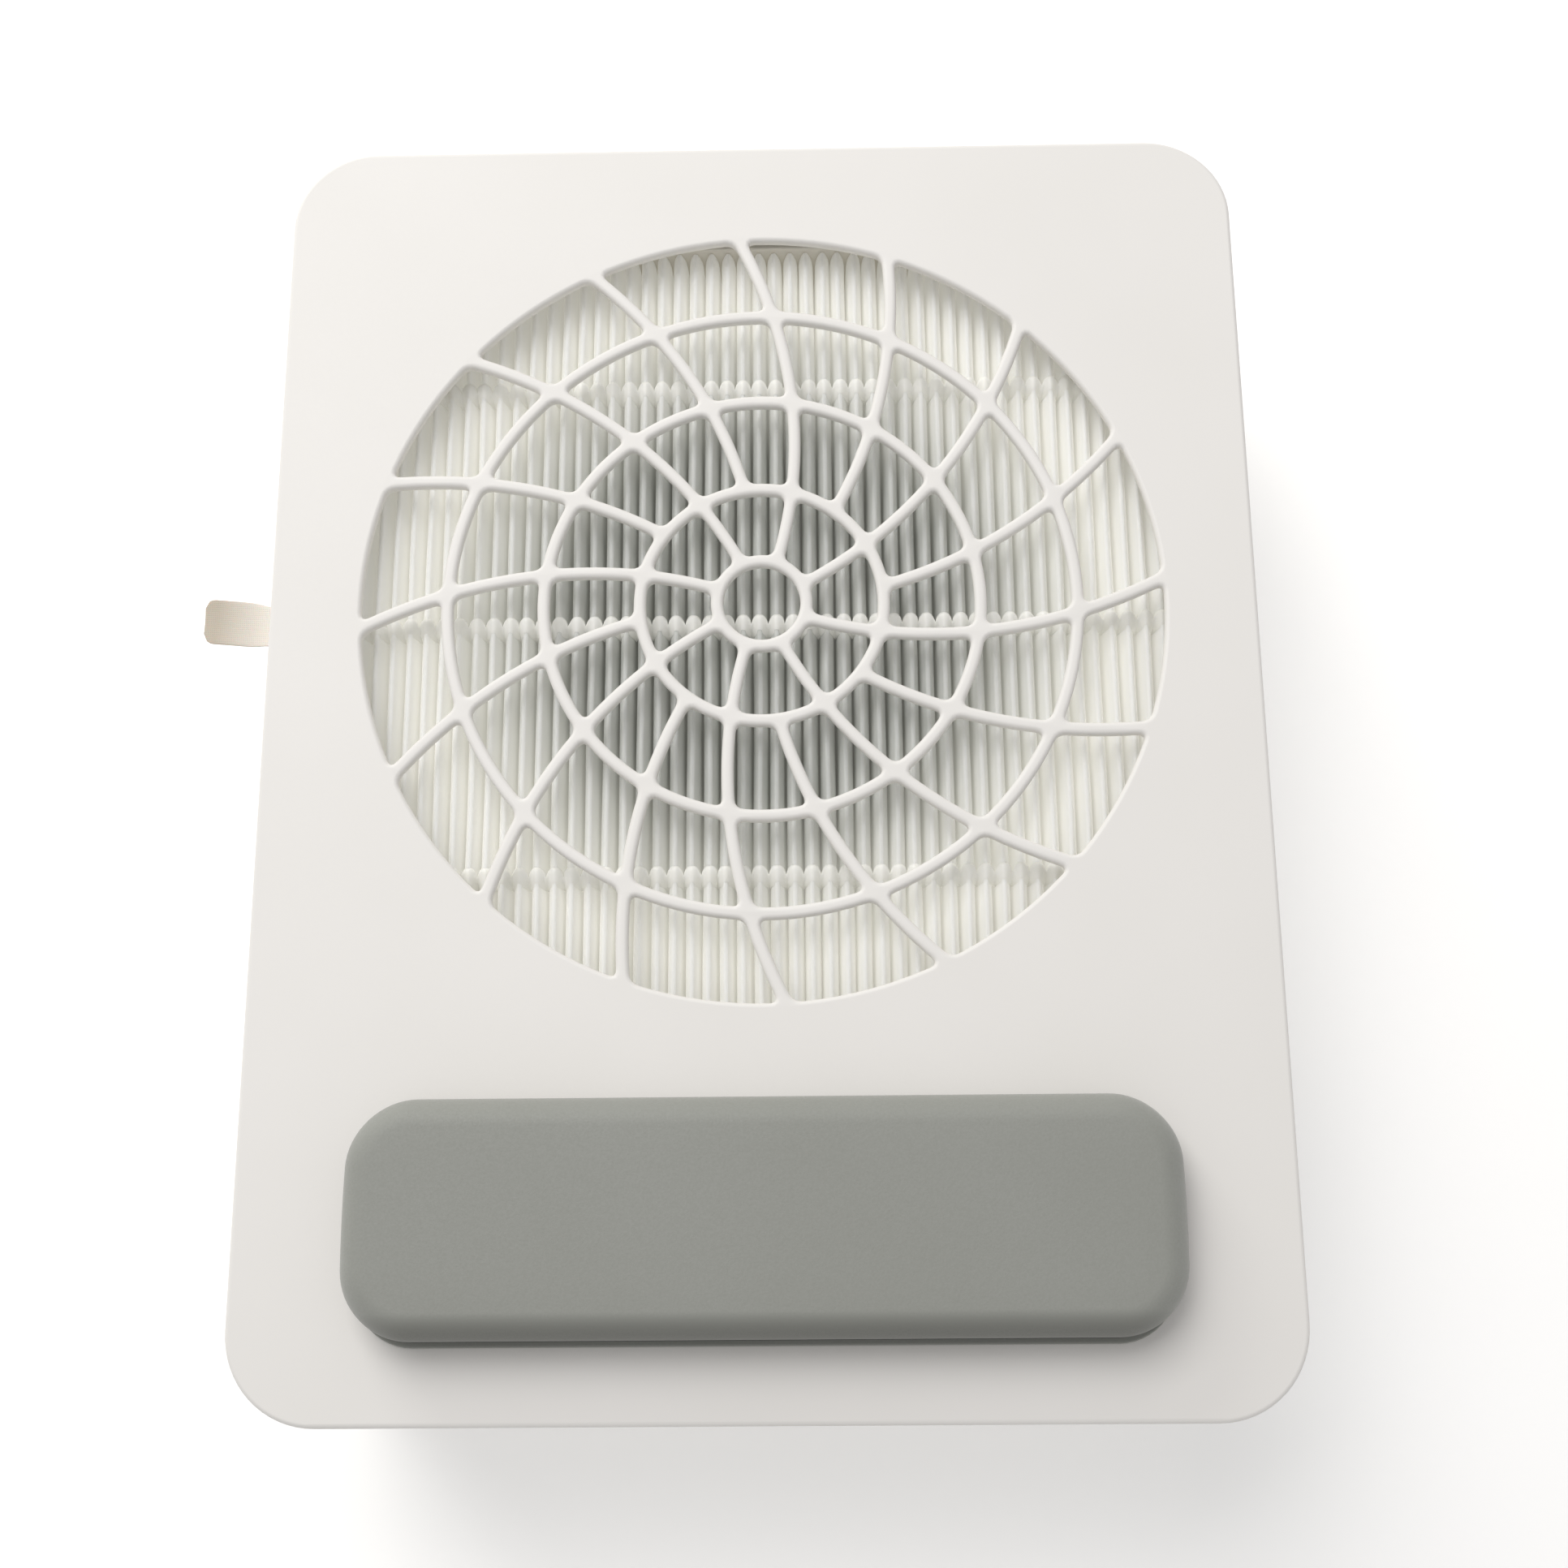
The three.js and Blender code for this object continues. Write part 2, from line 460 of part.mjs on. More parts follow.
function fanHousing() {
  const rimZ = deckZ - fan.sealHeight;
  const lugs = lugPlaces.map(([x, y]) => {
    const inward = new THREE.Vector2(x, y - grilleY).normalize().multiplyScalar(2 * screw.headRadius);
    return join(rod(screw.headRadius + 1, floorZ, chamberZ, x, y, 16),
      rod(screw.headRadius + 1, floorZ, chamberZ, x - inward.x, y - inward.y, 16));
  });
  const lugHoles = lugPlaces.map(([x, y]) =>
    rod(screw.radius + gap.peg, floorZ - 1, chamberZ + 1, x, y, 12));
  const body = join(prism(scrollOutline(wall.housing, ductBack), floorZ, rimZ, 0, grilleY), ...lugs);
  const hollow = prism(scrollOutline(0, ductBack + 1), chamberZ, rimZ + 1, 0, grilleY);
  const shape = cut(body, hollow, ...lugHoles);
  const seal = cut(prism(scrollOutline(wall.housing, ductBack), rimZ, deckZ, 0, grilleY),
    prism(scrollOutline(0, ductBack + 1), rimZ - 1, deckZ + 1, 0, grilleY));
  const grommets = lugPlaces.map(([x, y], i) =>
    piece("fan_grommet_" + (i + 1), ring(screw.radius + gap.peg, screw.headRadius + 1, wall.base, floorZ,
      x, y, 16),
      rubber));
  const screws = lugPlaces.map(([x, y], i) =>
    piece("fan_screw_" + (i + 1),
      join(rod(screw.radius, wall.base - screw.threadDepth + gap.peg, chamberZ, x, y, 10),
        rod(screw.headRadius, chamberZ, chamberZ + screw.headHeight, x, y, 14)), steel));
  return [piece("fan_housing", shape, darkPlastic), piece("housing_seal", seal, rubber), ...grommets,
    ...screws];
}

const discZ = chamberZ + fan.discLift;
const cupInner = motor.radius + motor.cupGap;
const cupTop = chamberZ + motor.height + motor.cupTopGap;

function motorCan() {
  const body = turned([[0, chamberZ], [motor.radius, chamberZ], [motor.radius, chamberZ + motor.height - 2],
    [motor.radius - 2, chamberZ + motor.height], [0, chamberZ + motor.height]], 0, grilleY, 32);
  const bearing = rod(motor.shaftRadius + gap.run, chamberZ + wall.housing, chamberZ + motor.height + 1,
    0, grilleY, 16);
  return piece("motor", cut(body, bearing), steel);
}

function impeller() {
  const cupOuter = cupInner + motor.cupWall;
  const lidTop = cupTop + fan.discThickness;
  const disc = turned([
    [cupInner, discZ], [fan.impellerRadius, discZ], [fan.impellerRadius, discZ + fan.discThickness],
    [cupOuter, discZ + fan.discThickness], [cupOuter, lidTop - 2], [cupOuter - 2, lidTop],
    [motor.shaftRadius + gap.run, lidTop], [motor.shaftRadius + gap.run, cupTop], [cupInner, cupTop],
  ], 0, grilleY, 32);
  const bladeTop = discZ + fan.discThickness + fan.bladeHeight;
  const shroud = ring(fan.shroudInner, fan.impellerRadius, bladeTop - fan.discThickness, bladeTop, 0,
    grilleY, 32);
  const blades = Array.from({ length: fan.blades }, (_, i) => {
    const line = [0, 1, 2].map((k) => {
      const t = k / 2;
      const radius = fan.eyeRadius + (fan.impellerRadius - 0.5 - fan.eyeRadius) * t;
      const sweep = THREE.MathUtils.degToRad(fan.bladeSweep * t * t);
      return [radius, (2 * Math.PI * i) / fan.blades - sweep];
    });
    const side = (s) => line.map(([radius, angle]) =>
      polar(radius, angle + (s * fan.bladeThickness) / (2 * radius)));
    return prism(new THREE.Shape([...side(-1), ...side(1).reverse()]), discZ + fan.discThickness / 2,
      bladeTop - fan.discThickness / 2, 0, grilleY);
  });
  const shaft = rod(motor.shaftRadius, chamberZ + wall.housing + gap.seat, lidTop + motor.nutHeight, 0,
    grilleY, 16);
  const nut = cut(rod(2 * motor.shaftRadius, lidTop, lidTop + motor.nutHeight - 1, 0, grilleY, 6),
    rod(motor.shaftRadius + gap.run, lidTop - 1, lidTop + motor.nutHeight + 1, 0, grilleY, 16));
  return [
    piece("impeller", join(disc, shroud, ...blades), whitePlastic),
    piece("motor_shaft", shaft, steel),
    piece("impeller_nut", nut, steel),
  ];
}

function inletRing() {
  const [throat, mouth] = [inlet.throat, inlet.mouth];
  const low = deckZ - inlet.drop;
  const flangeLow = deckZ - inlet.flangeThickness;
  return piece("inlet_ring", turned([
    [throat, low], [throat + inlet.lip, low], [throat + 2 * inlet.lip, flangeLow],
      [mouth + inlet.flangeReach, flangeLow],
    [mouth + inlet.flangeReach, deckZ], [mouth, deckZ], [mouth, bayZ], [mouth - inlet.lip, bayZ],
    [throat + inlet.lip, deckZ - 2], [throat, low + 3],
  ], 0, grilleY, 32), whitePlastic);
}

function fingerGuard() {
  const top = bayZ - 0.5;
  const low = top - inlet.guardBar;
  const outer = inlet.throat + inlet.lip + 1;
  const rings = [0.2, 0.6, 1].map((share) =>
    ring(outer * share - inlet.guardBar, outer * share, low, top, 0, grilleY, 24));
  const bars = [0, 60, 120].map((degrees) => {
    const bar = new THREE.BoxGeometry(2 * (outer - 1), inlet.guardBar, inlet.guardBar);
    return placed(bar.rotateZ(THREE.MathUtils.degToRad(degrees)), 0, grilleY, (low + top) / 2);
  });
  return piece("finger_guard", join(...rings, ...bars), darkPlastic);
}

function exhaustGrille() {
  const { x0, x1, z0, z1 } = exhaustBox;
  const back = caseLength / 2;
  const plug = gap.seat;
  const reach = exhaust.flange;
  const body = join(
    box(x0 - reach, x1 + reach, back, back + exhaust.proud, z0 - reach, z1 + reach),
    box(x0 + plug, x1 - plug, back - wall.case + plug, back, z0 + plug, z1 - plug),
  );
  const [left, right] = [x0 + plug + exhaust.frame, x1 - plug - exhaust.frame];
  const step = (right - left + exhaust.barWidth) / (exhaust.bars + 1);
  const slots = Array.from({ length: exhaust.bars + 1 }, (_, i) =>
    box(left + i * step, left + (i + 1) * step - exhaust.barWidth, back - wall.case - 1,
      back + exhaust.proud + 1,
      z0 + plug + exhaust.frame, z1 - plug - exhaust.frame));
  return piece("exhaust_grille", cut(body, ...slots), darkPlastic);
}

// ---------- controls and electronics ----------
function speedKnob() {
  const back = caseWidth / 2 + knob.standOff;
  const front = back + knob.depth;
  const profile = new THREE.Shape();
  const turn = (2 * Math.PI) / (2 * knob.flutes);
  profile.setFromPoints(Array.from({ length: 2 * knob.flutes }, (_, i) =>
    polar(i % 2 ? knob.radius - 0.6 : knob.radius, i * turn)));
  const grip = new THREE.ExtrudeGeometry(profile, {
    depth: knob.depth - 1.5, bevelEnabled: true, bevelThickness: 1, bevelSize: 1, bevelOffset: -1,
      bevelSegments: 1,
  });
  const body = placed(grip.rotateY(Math.PI / 2), back + 0.5, knob.y, knob.z).intersect(
    box(back, front + 1, knob.y - 2 * knob.radius, knob.y + 2 * knob.radius,
      knob.z - 2 * knob.radius, knob.z + 2 * knob.radius));
  const bore = rodX(pot.shaftRadius + gap.run, back - 1, back + knob.boreDepth, knob.y, knob.z, 16);
  const pointer = box(front - 1.3, front + 2, knob.y - 0.7, knob.y + 0.7, knob.z + knob.radius / 3,
    knob.z + 2 * knob.radius);
  const shaft = rodX(pot.shaftRadius, innerHalfX - pot.depth + gap.seat, back + knob.boreDepth - gap.seat,
    knob.y, knob.z, 16);
  return [piece("speed_knob", cut(body, bore, pointer), darkPlastic), piece("control_shaft", shaft, steel)];
}

function speedControl() {
  const half = pot.width / 2;
  const bodyLow = innerHalfX - pot.depth;
  const shape = cut(
    join(box(bodyLow, innerHalfX, knob.y - half, knob.y + half, knob.z - half, knob.z + half),
      rodX(pot.bushRadius, innerHalfX, caseWidth / 2 + gap.seat, knob.y, knob.z, 16)),
    rodX(pot.shaftRadius + gap.run, bodyLow, caseWidth, knob.y, knob.z, 16),
  );
  return piece("speed_control", shape, darkPlastic);
}

function switchHousing() {
  const outer = caseWidth / 2;
  const [halfY, halfZ] = [socket.bezelY / 2, socket.bezelZ / 2];
  const bodyY = halfY - 1 - gap.peg;
  const bodyZ = halfZ - 1 - gap.peg;
  const around = (x0, x1, y, z) => box(x0, x1, rocker.y - y, rocker.y + y, rocker.z - z, rocker.z + z);
  const low = outer - socket.bodyDepth;
  const shape = cut(
    join(around(outer, outer + socket.bezelThickness, halfY, halfZ), around(low, outer, bodyY, bodyZ)),
    around(low + socket.bodyWall, outer + socket.bezelThickness + 1, bodyY - socket.bodyWall,
      bodyZ - socket.bodyWall),
  );
  return piece("switch_housing", shape, darkPlastic);
}

const rockerPivotX = caseWidth / 2 - 1;
function powerRocker() {
  const half = rocker.height / 2;
  const face = caseWidth / 2 + rocker.proud - rockerPivotX;
  const profile = new THREE.Shape();
  const slope = half * Math.tan(THREE.MathUtils.degToRad(rocker.tilt));
  profile.moveTo(face, -half).lineTo(face - slope, 0).lineTo(face, half);
  profile.lineTo(-1, half).lineTo(-rocker.depth, half / 2).lineTo(-rocker.depth, -half / 2).lineTo(-1,
    -half);
  const geometry = new THREE.ExtrudeGeometry(profile, { depth: rocker.width, bevelEnabled: false });
  geometry.translate(0, 0, -rocker.width / 2).rotateX(Math.PI / 2);
  const mesh = piece("power_rocker", solid(geometry), darkPlastic);
  mesh.position.set(rockerPivotX, rocker.y, rocker.z);
  mesh.rotation.y = THREE.MathUtils.degToRad(rocker.tilt);
  return mesh;
}

function powerJack() {
  const back = caseLength / 2;
  const inner = back + jack.lip - jack.length;
  const shell = cut(
    join(rodY(jack.body, inner, back, jackX, jack.z), rodY(jack.flange, back, back + jack.lip, jackX,
      jack.z)),
    rodY(jack.bore, inner + 2, back + jack.lip + 1, jackX, jack.z, 16),
  );
  const pin = rodY(jack.pin, inner + 1, back, jackX, jack.z, 10);
  const nut = cut(rodY(jack.flange + 1, innerHalfY - 3, innerHalfY, jackX, jack.z, 6),
    rodY(jack.body + gap.run, innerHalfY - 4, innerHalfY + 1, jackX, jack.z, 16));
  return [piece("power_jack", join(shell, pin), darkPlastic), piece("jack_nut", nut, steel)];
}

function circuitBoard() {
  const low = wall.base + board.lift;
  const top = low + board.thickness;
  const { x, y } = board;
  const sheet = box(x - board.width / 2, x + board.width / 2, y - board.depth / 2, y + board.depth / 2,
    low, top);
  const parts = [
    rod(5, top - 0.2, top + 14, x - 24, y + 8, 16),
    rod(5, top - 0.2, top + 14, x - 12, y + 8, 16),
    box(x + 2, x + 20, y + 2, y + 16, top - 0.2, top + 12),
    box(x - 8, x + 4, y - 16, y - 6, top - 0.2, top + 2.2),
    box(x + 24, x + 34, y - 18, y - 10, top - 0.2, top + 7),
  ];
  return piece("circuit_board", join(sheet, ...parts), greenBoard);
}

// An insulated lead held between two points: a tube along a smooth curve.
function wire(name, points) {
  const section = new THREE.Shape(Array.from({ length: lead.sides }, (_, i) =>
    polar(lead.radius, (2 * Math.PI * i) / lead.sides)));
  const route = new THREE.CatmullRomCurve3(points.map(([x, y, z]) => new THREE.Vector3(x, y, z)));
  const geometry = new THREE.ExtrudeGeometry(section, { steps: lead.steps, extrudePath: route,
    bevelEnabled: false });
  return piece(name, solid(geometry), copperBlack);
}

function leads() {
  const floor = wall.base + lead.radius + 2 * gap.slide;
  const boardLeft = board.x - board.width / 2;
  const boardRight = board.x + board.width / 2;
  const boardRear = board.y + board.depth / 2;
  const plugZ = wall.base + board.lift + board.thickness + lead.radius + gap.seat;
  const jackInner = caseLength / 2 + jack.lip - jack.length - 2 * gap.seat;
  const switchInner = caseWidth / 2 - socket.bodyDepth - 2 * gap.seat;
  const lane = -innerHalfX + 3 * lead.radius;
  return [
    wire("jack_lead", [
      [jackX, jackInner, jack.z], [jackX, jackInner - 8, jack.z], [jackX - 10, jackInner - 20, jack.z - 6],
      [lane, jackInner - 40, floor + 3], [lane, grilleY, floor], [lane, -innerHalfY / 4, floor],
      [lane + 12, -innerHalfY / 2, floor + 2], [boardLeft - 30, board.y + 4, plugZ - 2],
      [boardLeft - 10, board.y, plugZ], [boardLeft + 3, board.y, plugZ],
    ]),
    wire("switch_lead", [
      [switchInner, rocker.y, rocker.z], [switchInner - 6, rocker.y, rocker.z],
      [switchInner - 18, rocker.y + 3, rocker.z - 9], [boardRight - 1, rocker.y + 6, plugZ + 3],
      [boardRight - 8, rocker.y + 6, plugZ],
    ]),
    wire("motor_lead", [
      [board.x, boardRear - 3, plugZ], [board.x, boardRear + 4, plugZ],
      [board.x - 3, scrollFront - 12, plugZ + 1], [board.x - 4, scrollFront - lead.radius - gap.seat,
        plugZ + 1],
    ]),
  ];
}
const scrollFront = grilleY - scrollRadius(270) - wall.housing;

// ---------- assembly ----------
function bodyGroup(...pieces) {
  const group = new THREE.Group();
  group.add(...pieces.flat());
  return group;
}

const top = topPlate();
const collector = new THREE.Group();
collector.add(
  bodyGroup(baseCover(), caseShell(), caseScrews(), feet(), filterDeck(top.magnetLow), fanHousing(),
    motorCan(),
    inletRing(), fingerGuard(), exhaustGrille(), speedControl(), switchHousing(), powerJack(),
      circuitBoard(), leads()),
  bodyGroup(impeller()),
  bodyGroup(filterCassette()),
  bodyGroup(speedKnob()),
  bodyGroup(powerRocker()),
  bodyGroup(top.pieces),
  bodyGroup(wristRest()),
);

export default collector;
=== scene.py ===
# %% [markdown]
# # A desktop nail dust collector
# A flat white plate with a round spiral grille and a grey wrist rest lies on a case. Under the grille a
# pleated paper filter slides out to the left, and below it a centrifugal fan blows out at the rear.
# The engineering model fixes every size and place. This script adds the finished surfaces around it.

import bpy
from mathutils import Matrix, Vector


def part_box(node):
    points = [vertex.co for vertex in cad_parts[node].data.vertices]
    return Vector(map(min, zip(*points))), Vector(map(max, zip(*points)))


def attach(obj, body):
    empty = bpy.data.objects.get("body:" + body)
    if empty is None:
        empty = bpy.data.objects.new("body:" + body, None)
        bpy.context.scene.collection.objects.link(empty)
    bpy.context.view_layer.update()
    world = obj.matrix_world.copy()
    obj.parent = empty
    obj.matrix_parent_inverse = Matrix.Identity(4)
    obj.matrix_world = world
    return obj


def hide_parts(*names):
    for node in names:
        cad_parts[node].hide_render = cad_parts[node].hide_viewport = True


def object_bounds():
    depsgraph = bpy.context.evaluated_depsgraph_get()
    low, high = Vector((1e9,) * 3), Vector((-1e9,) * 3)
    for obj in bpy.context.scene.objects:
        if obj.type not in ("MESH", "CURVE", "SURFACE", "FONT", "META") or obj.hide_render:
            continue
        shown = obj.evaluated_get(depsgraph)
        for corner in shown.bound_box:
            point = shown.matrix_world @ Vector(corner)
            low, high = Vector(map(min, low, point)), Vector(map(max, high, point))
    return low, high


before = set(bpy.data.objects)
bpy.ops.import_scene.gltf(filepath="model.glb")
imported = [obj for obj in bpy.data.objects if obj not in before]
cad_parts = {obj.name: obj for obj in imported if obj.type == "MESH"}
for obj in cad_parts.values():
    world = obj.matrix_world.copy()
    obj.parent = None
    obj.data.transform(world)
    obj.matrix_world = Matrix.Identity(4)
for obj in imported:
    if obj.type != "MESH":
        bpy.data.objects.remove(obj)  # frame["nodes"] holds the engineering model's pieces by name
cad_low, cad_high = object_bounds()
print("nodes in the frame:", len(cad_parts))

# %% Libraries and units
import math

import bpy
from mathutils import Matrix, Vector, noise

MM = 0.001  # every length below is in metres, so a size in millimetres is multiplied by this
scene = bpy.context.scene

# %% [markdown]
# ## Helpers for working in edit mode
# An operator acts on everything that is selected, and loading leaves the frame selected. So each step
# starts from nothing selected, and then picks faces or edges by where they are.

# %% Select one piece, or some of its faces or edges
def select_only(*pieces):
    if bpy.context.mode != "OBJECT":
        bpy.ops.object.mode_set(mode="OBJECT")
    bpy.ops.object.select_all(action="DESELECT")
    for piece in pieces:
        piece.select_set(True)
    bpy.context.view_layer.objects.active = pieces[0]


def edit(piece, mode="FACE"):
    """Opens the piece in edit mode with nothing selected."""
    select_only(piece)
    bpy.ops.object.mode_set(mode="EDIT")
    bpy.ops.mesh.select_mode(type=mode)
    bpy.ops.mesh.select_all(action="DESELECT")


def pick_faces(piece, test):
    """Opens the piece in edit mode with the faces selected whose centre and normal pass the test."""
    edit(piece, "FACE")
    bpy.ops.object.mode_set(mode="OBJECT")
    for face in piece.data.polygons:
        face.select = test(face.center, face.normal)
    bpy.ops.object.mode_set(mode="EDIT")


def pick_edges(piece, test):
    """Opens the piece in edit mode with the edges selected whose two ends pass the test."""
    edit(piece, "EDGE")
    bpy.ops.object.mode_set(mode="OBJECT")
    corners = piece.data.vertices
    for line in piece.data.edges:
        line.select = test(corners[line.vertices[0]].co, corners[line.vertices[1]].co)
    bpy.ops.object.mode_set(mode="EDIT")


print("helpers ready: select_only, edit, pick_faces, pick_edges")

# %% Apply transforms and modifiers, and tidy a mesh
def freeze(piece):
    """Puts the object at the origin, with its place in its mesh."""
    select_only(piece)
    bpy.ops.object.transform_apply(location=True, rotation=True, scale=True)
    return piece


def close_up(piece, distance=0.002 * MM):
    """Merges doubled vertices and turns all faces outwards."""
    edit(piece)
    bpy.ops.mesh.select_all(action="SELECT")
    bpy.ops.mesh.remove_doubles(threshold=distance)
    bpy.ops.mesh.normals_make_consistent(inside=False)
    select_only(piece)
    return piece


def apply_modifiers(piece):
    select_only(piece)
    for modifier in list(piece.modifiers):
        bpy.ops.object.modifier_apply(modifier=modifier.name)
    return piece


def break_edges(piece, width, steps=2, angle=35):
    """Rounds every sharp edge a little, as a mould does, and shades the flats flat."""
    bevel = piece.modifiers.new("Bevel", "BEVEL")
    bevel.width = width
    bevel.segments = steps
    bevel.limit_method = "ANGLE"
    bevel.angle_limit = math.radians(angle)
    apply_modifiers(piece)
    return piece


def shade(piece, angle=40):
    """Smooth shading with face-weighted normals, so large flats stay flat beside small rounds."""
    select_only(piece)
    bpy.ops.object.shade_smooth_by_angle(angle=math.radians(angle))
    weighted = piece.modifiers.new("Weighted", "WEIGHTED_NORMAL")
    weighted.weight = 90
    weighted.keep_sharp = True
    apply_modifiers(piece)
    return piece


def done(piece, body, slot, material, *nodes):
    """Gives a finished piece its material and ties it to the frame."""
    piece.data.materials.clear()
    piece.data.materials.append(material)
    for face in piece.data.polygons:
        face.material_index = 0
    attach(piece, body)
    if nodes:
        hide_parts(*nodes)
    size = [round(side / MM, 1) for side in piece.dimensions]
    print(f"{piece.name}: {len(piece.data.polygons)} faces, {size} mm, on {body}")
    return piece


# %% Ways to start a piece
def block(name, low, high):
    """A box between two corners."""
    low, high = Vector(low), Vector(high)
    bpy.ops.mesh.primitive_cube_add(size=1, location=(low + high) / 2)
    piece = bpy.context.object
    piece.name = name
    piece.scale = high - low
    return freeze(piece)


def round_block(name, low, high, corner, steps=10):
    """A box whose upright edges are rounded."""
    piece = block(name, low, high)
    pick_edges(piece, lambda a, b: abs(a.z - b.z) > 0.5 * (high[2] - low[2]))
    bpy.ops.mesh.bevel(offset=corner, segments=steps, profile=0.5, affect="EDGES")
    select_only(piece)
    return piece


def cut_out(name, loops, low, high, rim, rim_steps=3):
    """A sheet from low to high with this outline and these holes, and every rim rounded."""
    curve = bpy.data.curves.new(name, "CURVE")
    curve.dimensions = "2D"
    curve.fill_mode = "BOTH"
    curve.extrude = (high - low) / 2 - rim
    curve.bevel_depth = rim
    curve.bevel_resolution = rim_steps
    curve.offset = -rim
    for loop in loops:
        spline = curve.splines.new("POLY")
        spline.points.add(len(loop) - 1)
        for point, (x, y) in zip(spline.points, loop):
            point.co = (x, y, 0, 1)
        spline.use_cyclic_u = True
    piece = bpy.data.objects.new(name, curve)
    scene.collection.objects.link(piece)
    piece.location.z = (low + high) / 2
    select_only(piece)
    bpy.ops.object.convert(target="MESH")
    return close_up(freeze(bpy.context.object))


def turned(name, profile, centre, steps=64):
    """Spins a closed profile of (radius, height) points in millimetres round an upright axis."""
    mesh = bpy.data.meshes.new(name)
    corners = [(radius * MM, 0, height * MM) for radius, height in profile]
    lines = [(i, (i + 1) % len(corners)) for i in range(len(corners))]
    lines = [(a, b) for a, b in lines if profile[a][0] > 0 or profile[b][0] > 0]
    mesh.from_pydata(corners, lines, [])
    piece = bpy.data.objects.new(name, mesh)
    scene.collection.objects.link(piece)
    edit(piece, "VERT")
    bpy.ops.mesh.select_all(action="SELECT")
    bpy.ops.mesh.spin(steps=steps, angle=2 * math.pi, center=(0, 0, 0), axis=(0, 0, 1))
    select_only(piece)
    piece.location = centre
    return close_up(freeze(piece))


def tip(piece, axis):
    """Lays an upright piece over so that its height points along +X or -Y."""
    piece.rotation_euler = (0, math.pi / 2, 0) if axis == "X" else (math.pi / 2, 0, 0)
    return freeze(piece)


def shift(piece, place):
    piece.location = place
    return freeze(piece)


def middle_of(node):
    """The centre of a frame piece's box."""
    low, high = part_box(node)
    return (low + high) / 2


def merge_pieces(first, *others):
    select_only(first, *others)
    bpy.ops.object.join()
    return first


print("ways to start: block, round_block, cut_out, turned")

# %% Outlines
def arc(centre, radius, start, end, steps):
    """Points on an arc, both ends included, with angles in radians."""
    return [
        (centre[0] + radius * math.cos(start + (end - start) * i / steps),
         centre[1] + radius * math.sin(start + (end - start) * i / steps))
        for i in range(steps + 1)
    ]


def rounded_rectangle(low, high, radius, steps=8):
    """The outline of a rounded rectangle between two corners, counter-clockwise."""
    quarter = math.pi / 2
    centres = [
        (high[0] - radius, high[1] - radius), (low[0] + radius, high[1] - radius),
        (low[0] + radius, low[1] + radius), (high[0] - radius, low[1] + radius),
    ]
    return [
        point for i, centre in enumerate(centres)
        for point in arc(centre, radius, i * quarter, (i + 1) * quarter, steps)
    ]


def circle(centre, radius, steps=48):
    return arc(centre, radius, 0, 2 * math.pi, steps)[:-1]


# %% [markdown]
# ## Camera, floor and light
# The collector is seen from above, a little from the user's side. Two soft lights hang behind it and to the
# left, one high and one low, so the rolled rear edge of the wrist rest is bright and its front edge is dark.

# %% Camera
camera_place = Vector((12.15, -125.77, 531.32)) * MM
camera_target = Vector((5.11, -12.87, 93.2)) * MM
camera_roll = math.radians(-0.42)

camera = bpy.data.objects.new("camera", bpy.data.cameras.new("camera"))
scene.collection.objects.link(camera)
camera.data.lens = 43.87
camera.data.sensor_width = 36
camera.data.clip_start = 10 * MM
forward = (camera_target - camera_place).normalized()
right = forward.cross(Vector((0, 1, 0))).normalized()
upward = right.cross(forward)
turn = Matrix((right, upward, -forward)).transposed().to_4x4()
camera.matrix_world = Matrix.Translation(camera_place) @ turn @ Matrix.Rotation(camera_roll, 4, "Z")
scene.camera = camera
print("camera", round((camera_place - camera_target).length / MM), "mm from the plate")

# %% Colour and node helpers
def linear(hex_code):
    """An sRGB hex colour as the linear values that shaders use."""
    shares = [int(hex_code[i:i + 2], 16) / 255 for i in (1, 3, 5)]
    return [s / 12.92 if s <= 0.04045 else ((s + 0.055) / 1.055) ** 2.4 for s in shares] + [1.0]


def new_material(name):
    material = bpy.data.materials.new(name)
    material.use_nodes = True
    material.node_tree.nodes.clear()
    return material


def add(material, kind, inputs=None, **settings):
    """Adds a node. An input is a plain value or another node's output, which is then linked."""
    node = material.node_tree.nodes.new(kind)
    for name, value in settings.items():
        setattr(node, name, value)
    for name, value in (inputs or {}).items():
        if isinstance(value, bpy.types.NodeSocket):
            material.node_tree.links.new(value, node.inputs[name])
        else:
            node.inputs[name].default_value = value
    return node


def blend_colour(material, share, first, second):
    """Mixes two colours by a share. The mix node's colour sockets are numbers 6 and 7."""
    mix = add(material, "ShaderNodeMix", {0: share, 6: first, 7: second}, data_type="RGBA")
    return mix.outputs[2]


def ramp(material, value, low, high, to_low=0.0, to_high=1.0):
    """Stretches the part of a value between low and high to a new range."""
    sockets = {"Value": value, "From Min": low, "From Max": high, "To Min": to_low, "To Max": to_high}
    return add(material, "ShaderNodeMapRange", sockets).outputs["Result"]


def speckle(material, place, size, detail=2.0, roughness=0.5):
    """Noise whose patches are about this size."""
    sockets = {"Vector": place, "Scale": 1 / size, "Detail": detail, "Roughness": roughness}
    return add(material, "ShaderNodeTexNoise", sockets).outputs["Fac"]


def object_place(material):
    return add(material, "ShaderNodeTexCoord").outputs["Object"]


def coat_with(material, inputs):
    """Ends a material with its shader."""
    shader = add(material, "ShaderNodeBsdfPrincipled", inputs)
    add(material, "ShaderNodeOutputMaterial", {"Surface": shader.outputs[0]})
    return material


def relief(material, height, depth):
    sockets = {"Height": height, "Distance": depth, "Strength": 1.0}
    return add(material, "ShaderNodeBump", sockets).outputs["Normal"]


